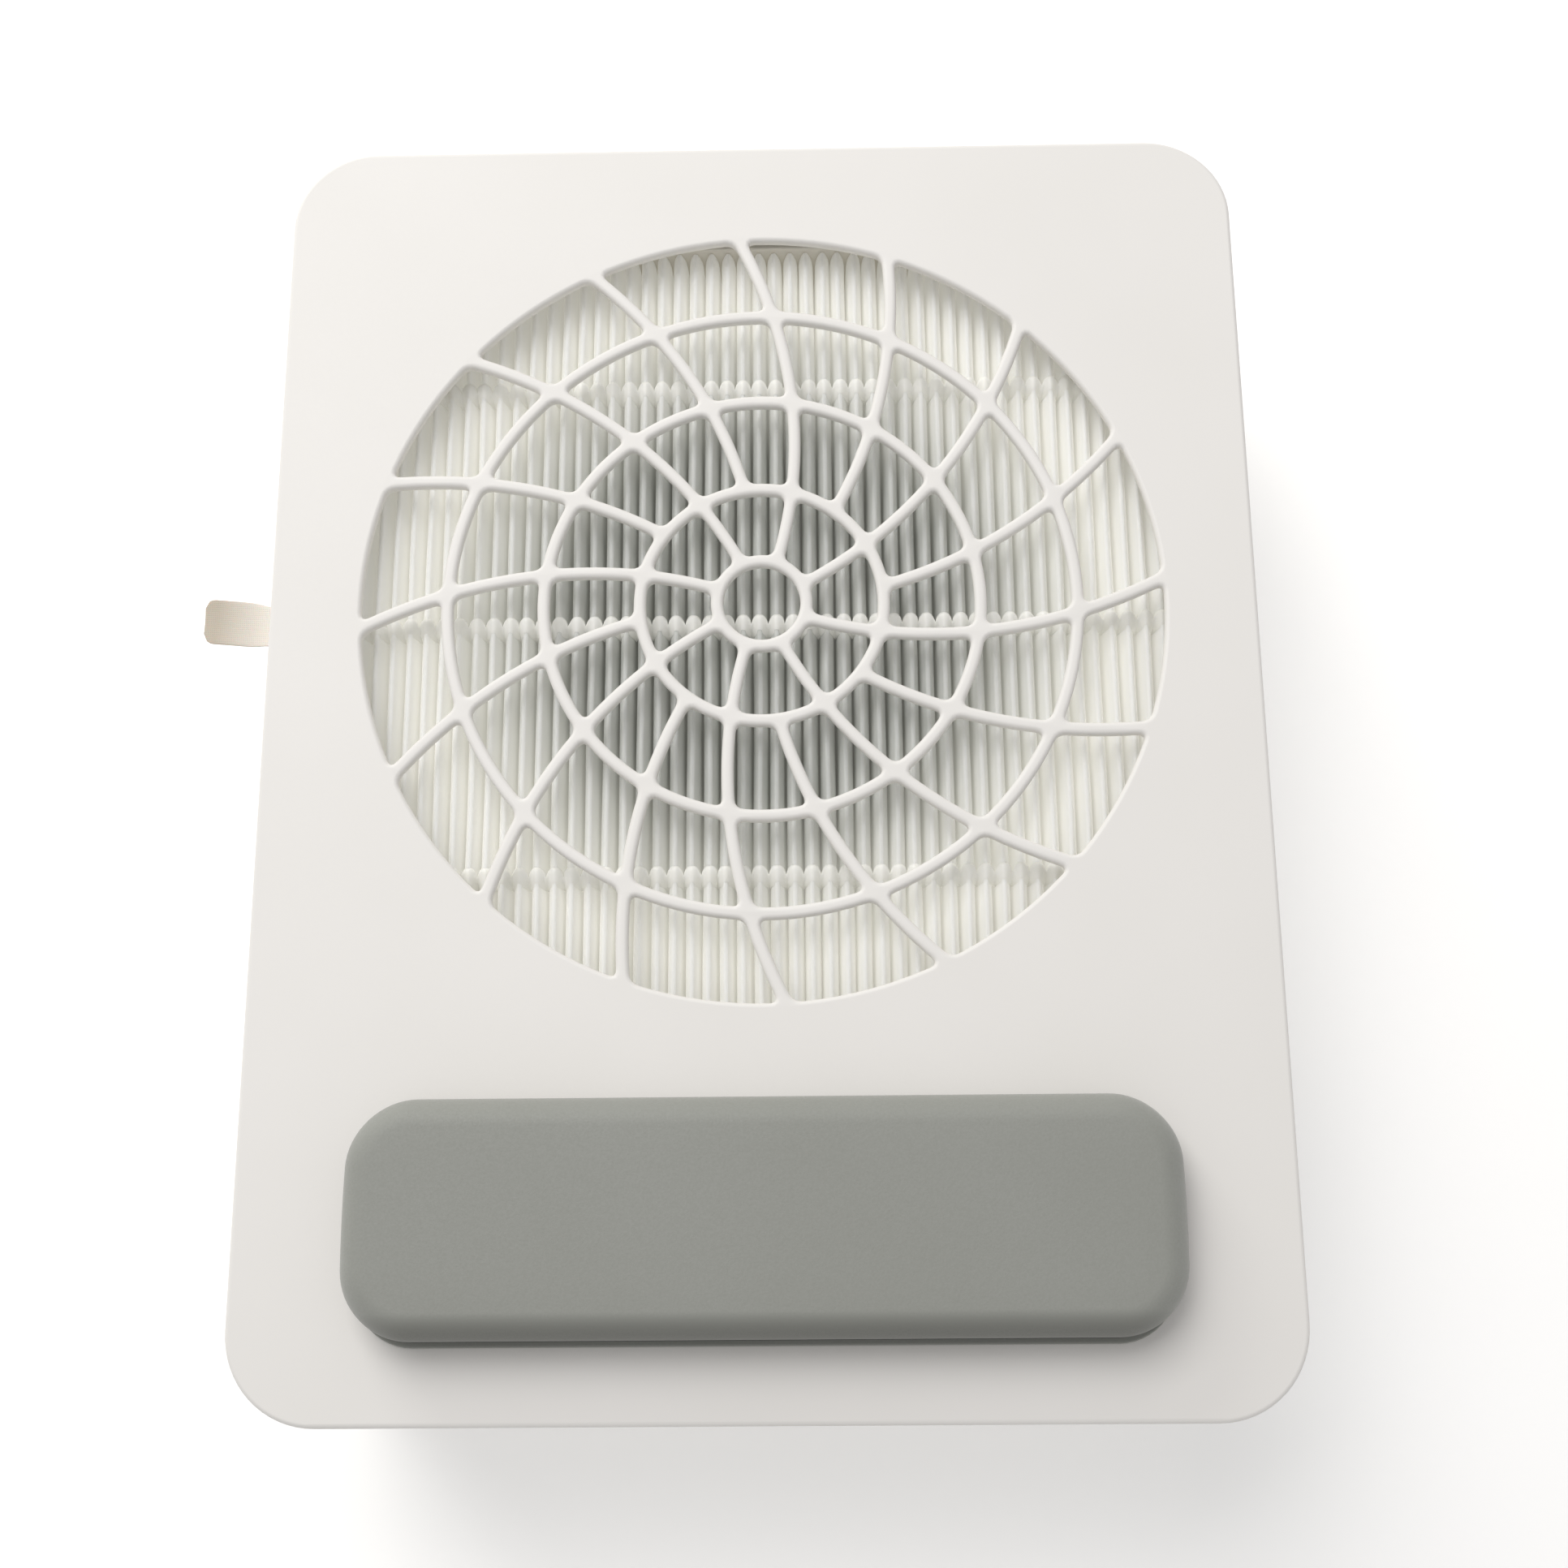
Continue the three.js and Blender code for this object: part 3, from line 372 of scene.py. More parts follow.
# %% Floor
def pale_floor():
    """Matt studio board, nearly white, with a faint unevenness over about 0.4 m."""
    material = new_material("matt_white_board")
    cloud = speckle(material, object_place(material), 400 * MM)
    return coat_with(material, {
        "Base Color": blend_colour(material, cloud, linear("#FBFAF8"), linear("#F8F7F5")),
        "Roughness": 0.9,
        "Emission Color": linear("#FFFFFF"),
        "Emission Strength": 0.26,  # keeps the ground pale right up to the object
    })


bpy.ops.mesh.primitive_plane_add(size=12, location=(0, 0, cad_low.z - 0.05 * MM))
floor = bpy.context.object
floor.name = "floor"
floor.data.materials.append(pale_floor())
print("floor at", round(cad_low.z / MM, 2), "mm")

# %% Lights
def soft_box(name, place, target, size, watts, colour):
    lamp = bpy.data.objects.new(name, bpy.data.lights.new(name, "AREA"))
    scene.collection.objects.link(lamp)
    lamp.data.shape = "SQUARE"
    lamp.data.size = size
    lamp.data.energy = watts
    lamp.data.color = linear(colour)[:3]
    lamp.location = place
    lamp.rotation_euler = (Vector(target) - Vector(place)).to_track_quat("-Z", "Y").to_euler()
    return lamp


soft_box("rear_soft_box", (-0.48, 0.80, 1.75), (0, 0.02, 0.09), 1.2, 18.6, "#FFFEFE")
soft_box("low_rear_light", (-0.72, 1.10, 0.62), (0, 0, 0.09), 0.7, 5.0, "#FFFFF8")
world = bpy.data.worlds.new("studio")
world.use_nodes = True
surround = world.node_tree.nodes["Background"]
surround.inputs["Color"].default_value = linear("#FCFCFD")
surround.inputs["Strength"].default_value = 0.44
scene.world = world
scene.view_settings.view_transform = "Standard"
print("a high and a low soft box behind the left shoulder, and an even surround")

# %% [markdown]
# ## Materials
# Each finish starts from what it is in the workshop. The pattern's scale is a real size in millimetres.

# %% Injection-moulded plastics and rubber
def moulded(name, pale, deep, gloss, grain, depth, ior=1.54):
    """Plastic from a spark-eroded mould: a faint flow mottling and a fine even grain."""
    material = new_material(name)
    place = object_place(material)
    flow = speckle(material, place, 45 * MM, detail=3)
    fine = speckle(material, place, grain, detail=3, roughness=0.6)
    return coat_with(material, {
        "Base Color": blend_colour(material, flow, linear(pale), linear(deep)),
        "Roughness": ramp(material, fine, 0.3, 0.7, gloss - 0.04, gloss + 0.06),
        "IOR": ior,
        "Normal": relief(material, fine, depth),
    })


white_abs = moulded("satin_white_abs", "#F3F0EC", "#EEEBE6", 0.56, 0.7 * MM, 0.006 * MM)
cream_frame = moulded("filter_frame_abs", "#EDE9E0", "#E6E2D8", 0.5, 0.8 * MM, 0.01 * MM)
black_abs = moulded("textured_black_abs", "#2A2B2D", "#232426", 0.48, 0.45 * MM, 0.03 * MM)
# A painted gap shadow: this black is used only for the dark line under the front of the wrist rest.
gap_shadow_black = moulded("painted_gap_shadow_black", "#1C1C1D", "#171718", 0.7, 0.6 * MM, 0.02 * MM)
nitrile_rubber = moulded("nitrile_rubber", "#222223", "#2A2A2A", 0.82, 0.9 * MM, 0.03 * MM, 1.52)
wire_cover = moulded("pvc_wire_cover", "#1B1B1D", "#232325", 0.45, 1.5 * MM, 0.01 * MM, 1.53)
print("plastics:", white_abs.name, black_abs.name, nitrile_rubber.name)

# %% Soft-touch wrist rest
def soft_touch_foam(foot, front):
    """Moulded polyurethane foam: a matt skin with a fine sandy grain, and painted shade low down and at the
    front.
    """
    material = new_material("soft_touch_polyurethane")
    place = object_place(material)
    wide = speckle(material, place, 38 * MM, detail=2)
    sand = speckle(material, place, 0.55 * MM, detail=3, roughness=0.7)
    base = blend_colour(material, wide, linear("#9B9C96"), linear("#95968F"))
    split = add(material, "ShaderNodeSeparateXYZ", {"Vector": place})
    # Painted shade: the colour is darkened towards the foot of the sides and along the front edge, where the
    # foam turns away from the light.
    painted_low_shade = ramp(material, split.outputs["Z"], foot, foot + 8 * MM, 0.75, 0.0)
    painted_front_shade = ramp(material, split.outputs["Y"], front, front + 6 * MM, 0.9, 0.0)
    shaded = blend_colour(material, painted_low_shade, base, linear("#50504A"))
    shaded = blend_colour(material, painted_front_shade, shaded, linear("#55554D"))
    fleck = ramp(material, sand, 0.35, 0.75, 0.0, 0.35)
    return coat_with(material, {
        "Base Color": blend_colour(material, fleck, shaded, linear("#898A82")),
        "Roughness": ramp(material, sand, 0.3, 0.7, 0.52, 0.66),
        "IOR": 1.5,
        "Sheen Weight": 0.3,
        "Sheen Roughness": 0.5,
        "Normal": relief(material, sand, 0.045 * MM),
    })


cushion_low, cushion_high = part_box("wrist_rest_cushion")
wrist_skin = soft_touch_foam(cushion_low.z, cushion_low.y)
# For the board the painted shade is set to start 20 mm below and in front of it, so none falls on the board.
board_skin = soft_touch_foam(cushion_low.z - 20 * MM, cushion_low.y - 20 * MM)

# %% Filter paper, hot melt and strap
def glass_fibre_paper(fan_centre):
    """Pleated glass-fibre paper: felted fibres, greyer over the fan, partly from dirt the fan pulls in and
    partly painted shade, and a painted glow for light through the paper.
    """
    material = new_material("glass_fibre_paper")
    place = object_place(material)
    squeeze = add(material, "ShaderNodeMapping", {"Vector": place, "Scale": (1.0, 0.12, 0.4)})
    fibres = speckle(material, squeeze.outputs["Vector"], 0.35 * MM, detail=4, roughness=0.65)
    blotch = speckle(material, place, 16 * MM, detail=3)
    level = add(material, "ShaderNodeMapping", {
        "Vector": place, "Location": (-fan_centre[0], -fan_centre[1], 0), "Scale": (1, 1, 0)})
    away = add(material, "ShaderNodeVectorMath", {0: level.outputs["Vector"]}, operation="LENGTH")
    # The grey over the fan is partly dirt and partly painted shade, where less light comes up through the
    # paper over the dark fan.
    near_fan = ramp(material, away.outputs["Value"], 45 * MM, 88 * MM, 1.0, 0.0)
    dust_and_shade = add(material, "ShaderNodeMath", {0: near_fan, 1: ramp(material, blotch, 0.3, 0.7, 0.7, 1.0)},
               operation="MULTIPLY").outputs[0]
    clean = blend_colour(material, fibres, linear("#FAF9F4"), linear("#F4F2EC"))
    glow = ramp(material, away.outputs["Value"], 45 * MM, 80 * MM, 0.025, 0.12)  # light through the paper
    # Painted shade: the painted glow fades under the plate's rim.
    under_plate = ramp(material, away.outputs["Value"], 88 * MM, 99 * MM, 1.0, 0.75)
    through = add(material, "ShaderNodeMath", {0: glow, 1: under_plate}, operation="MULTIPLY").outputs[0]
    return coat_with(material, {
        "Base Color": blend_colour(material, dust_and_shade, clean, linear("#D0D2CC")),
        "Roughness": 0.92,
        "IOR": 1.4,
        "Subsurface Weight": 1.0,
        "Subsurface Radius": (1.0, 0.98, 0.92),
        "Subsurface Scale": 1.6 * MM,
        "Emission Color": linear("#F8F7EF"),
        "Emission Strength": through,
        "Normal": relief(material, fibres, 0.03 * MM),
    })


def hot_melt():
    """Ethylene-vinyl-acetate glue laid hot across the pleats: milky, glossy, slightly see-through."""
    material = new_material("hot_melt_glue")
    cloud = speckle(material, object_place(material), 3 * MM)
    return coat_with(material, {
        "Base Color": blend_colour(material, cloud, linear("#F8F7F1"), linear("#EDECE4")),
        # A faint even painted glow stands in for light passing through the glue.
        "Emission Color": linear("#F6F5EE"),
        "Emission Strength": 0.07,
        "Roughness": 0.4,
        "IOR": 1.48,
        "Subsurface Weight": 0.5,
        "Subsurface Radius": (1.0, 1.0, 0.9),
        "Subsurface Scale": 2.0 * MM,
        "Normal": relief(material, cloud, 0.05 * MM),
    })


def ribbon(free_end):
    """Plain-woven polyester ribbon, two threads to the millimetre, ivory, with painted shade towards its free
    end.
    """
    material = new_material("woven_ribbon")
    place = object_place(material)
    pitch = 0.5 * MM
    wave = 2 * math.pi / pitch / 20  # the wave node makes one band for each 20 radians
    weft = add(material, "ShaderNodeTexWave", {"Vector": place, "Scale": wave, "Distortion": 0.3},
               bands_direction="X").outputs["Fac"]
    warp = add(material, "ShaderNodeTexWave", {"Vector": place, "Scale": wave, "Distortion": 0.3},
               bands_direction="Y").outputs["Fac"]
    weave = add(material, "ShaderNodeMath", {0: weft, 1: warp}, operation="MULTIPLY").outputs[0]
    stain = speckle(material, place, 9 * MM, detail=3)
    split = add(material, "ShaderNodeSeparateXYZ", {"Vector": place})
    # Painted shade: the ribbon is coloured darker towards its free end, where it droops away from the light.
    painted_end_shade = ramp(material, split.outputs["X"], free_end + 3 * MM, free_end + 17 * MM, 1.0, 0.0)
    stained_shade_tone = blend_colour(material, stain, linear("#CBC0AF"), linear("#C2B7A5"))
    base = blend_colour(material, painted_end_shade, linear("#F3EFE5"), stained_shade_tone)
    return coat_with(material, {
        "Base Color": blend_colour(material, ramp(material, weave, 0, 1, 0.0, 0.25), base,
                                   linear("#BDB3A1")),
        "Roughness": 0.5,
        "Subsurface Weight": 0.25,
        "Subsurface Scale": 0.6 * MM,
        "Sheen Weight": 0.2,
        "Normal": relief(material, weave, 0.05 * MM),
    })


fan_centre = middle_of("impeller")
filter_paper = glass_fibre_paper(fan_centre)
glue = hot_melt()
strap = ribbon(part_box("pull_tab")[0].x)
print("filter materials:", filter_paper.name, glue.name, strap.name)

# %% Metals and the circuit board
def zinc_steel():
    """Zinc-plated steel: bright, with a fine turned grain and cloudy plating."""
    material = new_material("zinc_plated_steel")
    place = object_place(material)
    squeeze = add(material, "ShaderNodeMapping", {"Vector": place, "Scale": (1.0, 1.0, 8.0)})
    grain = speckle(material, squeeze.outputs["Vector"], 0.5 * MM, detail=3)
    cloud = speckle(material, place, 4 * MM)
    return coat_with(material, {
        "Base Color": blend_colour(material, cloud, linear("#C4C6C9"), linear("#A9ACB0")),
        "Metallic": 1.0,
        "Roughness": ramp(material, grain, 0.3, 0.7, 0.26, 0.42),
        "Normal": relief(material, grain, 0.01 * MM),
    })


def solder_mask():
    """Green solder mask over copper tracks, with tracks about 2 mm apart."""
    material = new_material("green_circuit_board")
    place = object_place(material)
    tracks = add(material, "ShaderNodeTexBrick", {
        "Vector": place, "Scale": 1 / (8 * MM), "Color1": linear("#1E5A38"), "Color2": linear("#226340"),
        "Mortar": linear("#3C8256"), "Mortar Size": 0.06})
    return coat_with(material, {
        "Base Color": tracks.outputs["Color"],
        "Roughness": 0.35,
        "IOR": 1.5,
        "Normal": relief(material, tracks.outputs["Fac"], 0.03 * MM),
    })


zinc = zinc_steel()
board_green = solder_mask()
print("metals and board:", zinc.name, board_green.name)

# %% [markdown]
# ## Top plate
# The plate and its spiral grille are one moulding, 3 mm thick, and the ribs are half-round on top. The
# outline and its 57 openings are drawn as a flat curve, because a filled curve keeps every rib's width
# exact and rounds all its rims alike, and then the curve is made a mesh.

# %% Grille sizes
RINGS = 4
HUB_RING = 10.9 * MM  # centreline radius of the innermost ring
INNER_BAND = 18.8 * MM
RING_STEP = 23.5 * MM
OUTER_BAND = 21 * MM
RING_WIDTH = 3.0 * MM
SPOKES = 16
SPOKE_ANGLE = math.radians(67.6)
SPOKE_TWIST = math.radians(0.2607) / MM  # turn for each metre outwards
SPOKE_WIDTH = 2.8 * MM
SPOKE_FLARE = 0.003
FILLET = 2.1 * MM  # how far a rib junction's round reaches along the ribs
PLATE_CORNER = 21 * MM
RIB_ROUND = 1.1 * MM
grille_centre = (fan_centre.x, fan_centre.y)
ring_radii = [HUB_RING] + [HUB_RING + INNER_BAND + i * RING_STEP for i in range(RINGS - 1)]
opening_radius = ring_radii[-1] + OUTER_BAND

# %% One opening of the grille
def spoke_edge(radius, number, side):
    """The angle of one side of a spoke at a radius."""
    lean = math.atan(radius * SPOKE_TWIST)
    half = (SPOKE_WIDTH + SPOKE_FLARE * radius) / (2 * radius * math.cos(lean))
    return SPOKE_ANGLE + SPOKE_TWIST * radius + number * 2 * math.pi / SPOKES + side * half


def on_grille(radius, angle):
    return (grille_centre[0] + radius * math.cos(angle), grille_centre[1] + radius * math.sin(angle))


def rounded_corner(before, corner, after, steps=4):
    """Points of a smooth curve from before to after that bends towards the corner."""
    return [
        tuple((1 - t) ** 2 * b + 2 * t * (1 - t) * c + t * t * a for b, c, a in zip(before, corner, after))
        for t in (i / steps for i in range(steps + 1))
    ]


def grille_opening(inner, outer, first, skip):
    """The outline between two rings and two spokes, with its four corners rounded."""
    reach = min(FILLET, 0.3 * (outer - inner))
    near, far = inner + reach, outer - reach

    def side(number, hand, start, end, steps=6):
        radii = [start + (end - start) * i / steps for i in range(steps + 1)]
        return [on_grille(radius, spoke_edge(radius, number, hand)) for radius in radii]

    def along(radius, start, end):
        start_trim = min(reach / radius, 0.3 * (end - start))
        steps = max(3, round((end - start) / math.radians(2.5)))
        return arc(grille_centre, radius, start + start_trim, end - start_trim, steps)

    last = first + skip
    outer_start, outer_end = spoke_edge(outer, first, 1), spoke_edge(outer, last, -1)
    inner_start, inner_end = spoke_edge(inner, first, 1), spoke_edge(inner, last, -1)
    runs = [side(first, 1, near, far), along(outer, outer_start, outer_end),
            side(last, -1, far, near), along(inner, inner_start, inner_end)[::-1]]
    corners = [on_grille(outer, outer_start), on_grille(outer, outer_end),
               on_grille(inner, inner_end), on_grille(inner, inner_start)]
    outline = []
    for i, run in enumerate(runs):
        outline += run[1:-1]
        outline += rounded_corner(run[-1], corners[i], runs[(i + 1) % len(runs)][0])
    return outline


def grille_openings():
    loops = [circle(grille_centre, ring_radii[0] - RING_WIDTH / 2, 40)]
    edges = ring_radii + [opening_radius]
    for band in range(RINGS):
        inner = edges[band] + RING_WIDTH / 2
        outer = edges[band + 1] - (RING_WIDTH / 2 if band < RINGS - 1 else 0)
        skip = 2 if band == 0 else 1
        loops += [grille_opening(inner, outer, first, skip) for first in range(0, SPOKES, skip)]
    return loops


# %% Plate, skirt and magnet cups
plate_front_left, plate_rear_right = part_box("top_plate")
plate_foot, plate_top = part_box("case_shell")[1].z, plate_rear_right.z
outline = rounded_rectangle(plate_front_left, plate_rear_right, PLATE_CORNER, 16)
top_plate = cut_out("top_plate_moulding", [outline] + grille_openings(), plate_foot, plate_top, RIB_ROUND)
print("grille openings cut:", len(grille_openings()))


def plate_skirt():
    """The rim under the plate that drops inside the case, open at the left for the filter's strap."""
    wall, corner, play = 1.6 * MM, 12 * MM, 0.2 * MM
    inside_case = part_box("base_cover")[1]
    edge_x, edge_y = inside_case.x - play, inside_case.y - play
    strap_low, strap_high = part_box("pull_tab")
    middle, half = (strap_low.y + strap_high.y) / 2, strap_high.y - strap_low.y
    outside = rounded_rectangle((-edge_x, -edge_y), (edge_x, edge_y), corner)
    inside = rounded_rectangle((wall - edge_x, wall - edge_y), (edge_x - wall, edge_y - wall), corner - wall)

    def from_notch(loop, x):
        """The loop's points in order, starting and ending at the two sides of the notch."""
        start = next(i for i, p in enumerate(loop) if p[0] < 0 and p[1] < middle)
        return [(x, middle - half)] + loop[start:] + loop[:start] + [(x, middle + half)]

    ring = from_notch(outside, -edge_x) + from_notch(inside, wall - edge_x)[::-1]
    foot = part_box("filter_frame")[1].z + 0.8 * MM
    return cut_out("plate_skirt", [ring], foot, plate_foot + 0.2 * MM, 0.3 * MM, 1)


def magnet_cup(node):
    """A short tube under the plate that holds one magnet."""
    low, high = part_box(node)
    middle = middle_of(node)
    inner, outer = 4.1, 5.2
    foot, head, bottom = low.z / MM, plate_foot / MM, high.z / MM + 0.1
    profile = [(inner, foot), (outer, foot), (outer, head), (0, head), (0, bottom), (inner, bottom)]
    return turned("magnet_cup", profile, (middle.x, middle.y, 0), 32)


corner_names = [f"{end}_{side}" for end in ("front", "rear") for side in ("left", "right")]
merge_pieces(top_plate, plate_skirt(), *[magnet_cup(f"plate_magnet_{corner}") for corner in corner_names])
shade(top_plate)
done(top_plate, "plate", "white_plastic", white_abs, "top_plate")

# %% [markdown]
# ## Wrist rest
# A moulded soft foam block on a thin board. The block starts as a box with round corners. Its top edge is
# then rolled over by insetting the top face in small steps that follow a quarter circle and go on into a
# faint crown, and the foot of its sides is tucked in the same way. A cloth simulation would suit a sewn
# cover, but this foam has its shape from a mould, so nothing is simulated.

# %% Foam block
PAD_CORNER = 15 * MM
PAD_ROLL = 6 * MM
PAD_TUCK = 1.4 * MM
PAD_BOW = 0.9 * MM  # how far the short sides bulge at their middle
PAD_CROWN = 0.5 * MM
CROWN_REACH = 13 * MM  # how far in from the edge the crown has risen to its full height
BOARD_CORNER = 13.5 * MM


def rounded_edge(radius, steps):
    """Places of (inwards, outwards) along a quarter circle."""
    turns = [math.pi / 2 * i / steps for i in range(steps + 1)]
    return [(radius * (1 - math.cos(turn)), radius * math.sin(turn)) for turn in turns]


def crowned_edge(radius, steps):
    """The same quarter circle, going on into a faint crown so that no line shows between them."""
    places = rounded_edge(radius, steps)
    places += [(radius + reach * MM, radius) for reach in (0.4, 1.0, 1.8, 2.8, 4.0, 5.4)]
    return [(inwards, outwards + PAD_CROWN * (1 - (1 - inwards / CROWN_REACH) ** 2))
            for inwards, outwards in places]


def inset_along(piece, test, places):
    """Insets a flat face again and again, so that its edge follows these places."""
    pick_faces(piece, test)
    for before, after in zip(places, places[1:]):
        bpy.ops.mesh.inset(thickness=after[0] - before[0], depth=after[1] - before[1],
                           use_even_offset=True)
    select_only(piece)


def foam_block():
    low, high = cushion_low, cushion_high
    base = (low.x + PAD_BOW, low.y, low.z + PAD_TUCK)
    top = (high.x - PAD_BOW, high.y, high.z - PAD_ROLL - PAD_CROWN)
    pad = round_block("wrist_rest_pad", base, top, PAD_CORNER, 16)
    inset_along(pad, lambda c, n: n.z > 0.9, crowned_edge(PAD_ROLL, 12))
    inset_along(pad, lambda c, n: n.z < -0.9, rounded_edge(PAD_TUCK, 4))
    return pad


def bow_sides(pad):
    """Bulges the two short sides, most at the middle of their length."""
    low, high = cushion_low, cushion_high
    middle, half_y, half_x = (low.y + high.y) / 2, (high.y - low.y) / 2, (high.x - low.x) / 2 - PAD_BOW
    for corner in pad.data.vertices:
        along = 1 - ((corner.co.y - middle) / half_y) ** 2
        corner.co.x += PAD_BOW * along * (corner.co.x / half_x) ** 3


def cut_rows(piece, axis, low, high, count):
    """Adds straight rows of edges across a piece, so that it can bend between them."""
    normal = Vector((axis == "X", axis == "Y", axis == "Z"))
    for i in range(1, count):
        edit(piece)
        bpy.ops.mesh.select_all(action="SELECT")
        place = normal * (low + (high - low) * i / count)
        bpy.ops.mesh.bisect(plane_co=place, plane_no=normal)
    select_only(piece)


pad = foam_block()
cut_rows(pad, "Y", cushion_low.y + PAD_CORNER, cushion_high.y - PAD_CORNER, 7)
bow_sides(pad)
close_up(pad)
select_only(pad)
bpy.ops.object.shade_smooth()
done(pad, "wrist_rest", "wrist_foam", wrist_skin, "wrist_rest_cushion")

# %% Board and pegs under the foam
def wrist_board():
    low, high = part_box("wrist_rest_board")
    peg = middle_of("wrist_peg_right")
    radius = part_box("wrist_peg_right")[1].x - peg.x + 0.3 * MM
    loops = [rounded_rectangle(low, high, BOARD_CORNER, 12),
             circle((peg.x, peg.y), radius, 32), circle((-peg.x, peg.y), radius, 32)]
    return cut_out("wrist_rest_base", loops, low.z, high.z, 0.5 * MM)


def gap_shadow_strip():
    """A black strip between the foam and its board that stands in for the shadow in the gap, seen as a thin
    line at the front.
    """
    low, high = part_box("wrist_rest_board")
    front = cushion_low.y - 0.3 * MM
    outline = rounded_rectangle((low.x, front), (high.x, high.y), BOARD_CORNER, 12)
    return shade(cut_out("wrist_rest_gap_shadow_strip", [outline], high.z, high.z + 0.35 * MM, 0.1 * MM, 1))


def round_peg(name, node):
    low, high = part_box(node)
    middle = middle_of(node)
    radius, foot, head = (high.x - low.x) / 2 / MM, low.z / MM, high.z / MM
    profile = [(0, foot), (radius - 0.8, foot), (radius, foot + 1), (radius, head), (0, head)]
    return shade(turned(name, profile, (middle.x, middle.y, 0), 40))


base_board = shade(wrist_board())
done(base_board, "wrist_rest", "dark_plastic", board_skin, "wrist_rest_board")
done(gap_shadow_strip(), "wrist_rest", "dark_plastic", gap_shadow_black)
for side in ("left", "right"):
    peg = round_peg(f"wrist_rest_peg_{side}", f"wrist_peg_{side}")
    done(peg, "wrist_rest", "dark_plastic", black_abs, f"wrist_peg_{side}")

# %% [markdown]
# ## Filter cassette
# The paper is folded into about fifty ridges. One fold is a round crest on two flanks that spread as they go
# down. It starts as a circle with its lower half deleted, the two loose ends are pulled down, and the line
# is extruded along the ridge and repeated with an Array. Real folds wander a little, so each ridge gets its
# own slow wave. Three beads of hot melt hold the folds apart.

# %% Pleats
CREST_RADIUS = 0.62 * MM
PLEAT_PITCH = 4.1 * MM
PAPER = 0.3 * MM
FLANK = ((1.05, 1.7), (1.6, 4.0), (1.88, 7.0))  # half width and depth down one side of a fold, in mm
pack_low, pack_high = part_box("filter_pleats")
pleat_count = int((pack_high.x - pack_low.x) / PLEAT_PITCH)
pleat_step = (pack_high.x - pack_low.x) / pleat_count
ridge_top = pack_high.z


def pull_ends_down(fold, to_half_width, to_depth):
    """Extrudes the fold's two lowest corners to the next place down its sides."""
    bpy.ops.object.mode_set(mode="OBJECT")
    lowest = min(corner.co.z for corner in fold.data.vertices)
    for corner in fold.data.vertices:
        corner.select = corner.co.z < lowest + 0.01 * MM
    bpy.ops.object.mode_set(mode="EDIT")
    drop = lowest - (ridge_top - to_depth)
    bpy.ops.mesh.extrude_vertices_move(TRANSFORM_OT_translate={"value": (0, 0, -drop)})
    bpy.ops.object.mode_set(mode="OBJECT")
    middle = pack_low.x + pleat_step / 2
    for corner in fold.data.vertices:
        if corner.select:
            corner.co.x = middle + math.copysign(to_half_width, corner.co.x - middle)
    bpy.ops.object.mode_set(mode="EDIT")


def one_fold(rows):
    """A single fold of paper, lying along Y: a round crest on two flanks that spread as they go down."""
    crest = ridge_top - CREST_RADIUS
    bpy.ops.mesh.primitive_circle_add(vertices=16, radius=CREST_RADIUS, rotation=(math.pi / 2, 0, 0),
                                      location=(pack_low.x + pleat_step / 2, pack_low.y, crest))
    fold = bpy.context.object
    fold.name = "filter_paper"
    freeze(fold)
    edit(fold, "VERT")
    bpy.ops.object.mode_set(mode="OBJECT")
    for corner in fold.data.vertices:
        corner.select = corner.co.z < crest - 0.01 * MM
    bpy.ops.object.mode_set(mode="EDIT")
    bpy.ops.mesh.delete(type="VERT")
    for half_width, depth in FLANK:
        pull_ends_down(fold, half_width * MM, depth * MM)
    pull_ends_down(fold, pleat_step / 2, ridge_top - pack_low.z)
    length = (pack_high.y - pack_low.y) / rows
    bpy.ops.mesh.select_all(action="SELECT")
    for _ in range(rows):
        bpy.ops.mesh.extrude_edges_move(TRANSFORM_OT_translate={"value": (0, length, 0)})
    select_only(fold)
    return fold


def repeat_along_x(piece, count, step):
    array = piece.modifiers.new("Array", "ARRAY")
    array.count = count
    array.use_relative_offset = False
    array.use_constant_offset = True
    array.constant_offset_displace = (step, 0, 0)
    array.use_merge_vertices = True
    array.merge_threshold = 0.05 * MM
    return apply_modifiers(piece)


def ridge_sway(x, y):
    """How far a ridge leans sideways here, up to a third of a millimetre."""
    number = math.floor((x - pack_low.x) / pleat_step)
    slow = noise.noise(Vector((number * 3.7, y / (38 * MM), 0.0)))
    shared = noise.noise(Vector((number * 0.21, y / (60 * MM), 5.0)))
    return (0.30 * slow + 0.35 * shared) * MM


def wander(piece):
    depth = ridge_top - pack_low.z
    for corner in piece.data.vertices:
        x, y, z = corner.co
        rise = max(0.0, (z - pack_low.z) / depth)
        if rise > 0.1:
            corner.co.x += ridge_sway(x, y) * rise


def thicken(piece, wall):
    solid = piece.modifiers.new("Solid", "SOLIDIFY")
    solid.thickness = wall
    solid.offset = -1
    return apply_modifiers(piece)


def face_up(piece):
    """Turns an open sheet over if its faces point down, so that thickening goes the right way."""
    if sum(face.normal.z * face.area for face in piece.data.polygons) < 0:
        piece.data.flip_normals()


paper = one_fold(20)
repeat_along_x(paper, pleat_count, pleat_step)
wander(paper)
close_up(paper)
face_up(paper)
thicken(paper, PAPER)
shade(paper, 50)
done(paper, "filter", "filter_paper", filter_paper, "filter_pleats")

# %% Hot-melt beads
BEAD_RISE = 0.6 * MM
BEAD_DIP = 1.5 * MM  # how far the bead sinks between two ridges
BEAD_TAPER = 3.5 * MM  # how much further its front edge runs down into the valley
BEAD_SOAK = 0.35 * MM  # how far its edge lies below the ridge's top
BEAD_DEPTH = 0.8 * MM


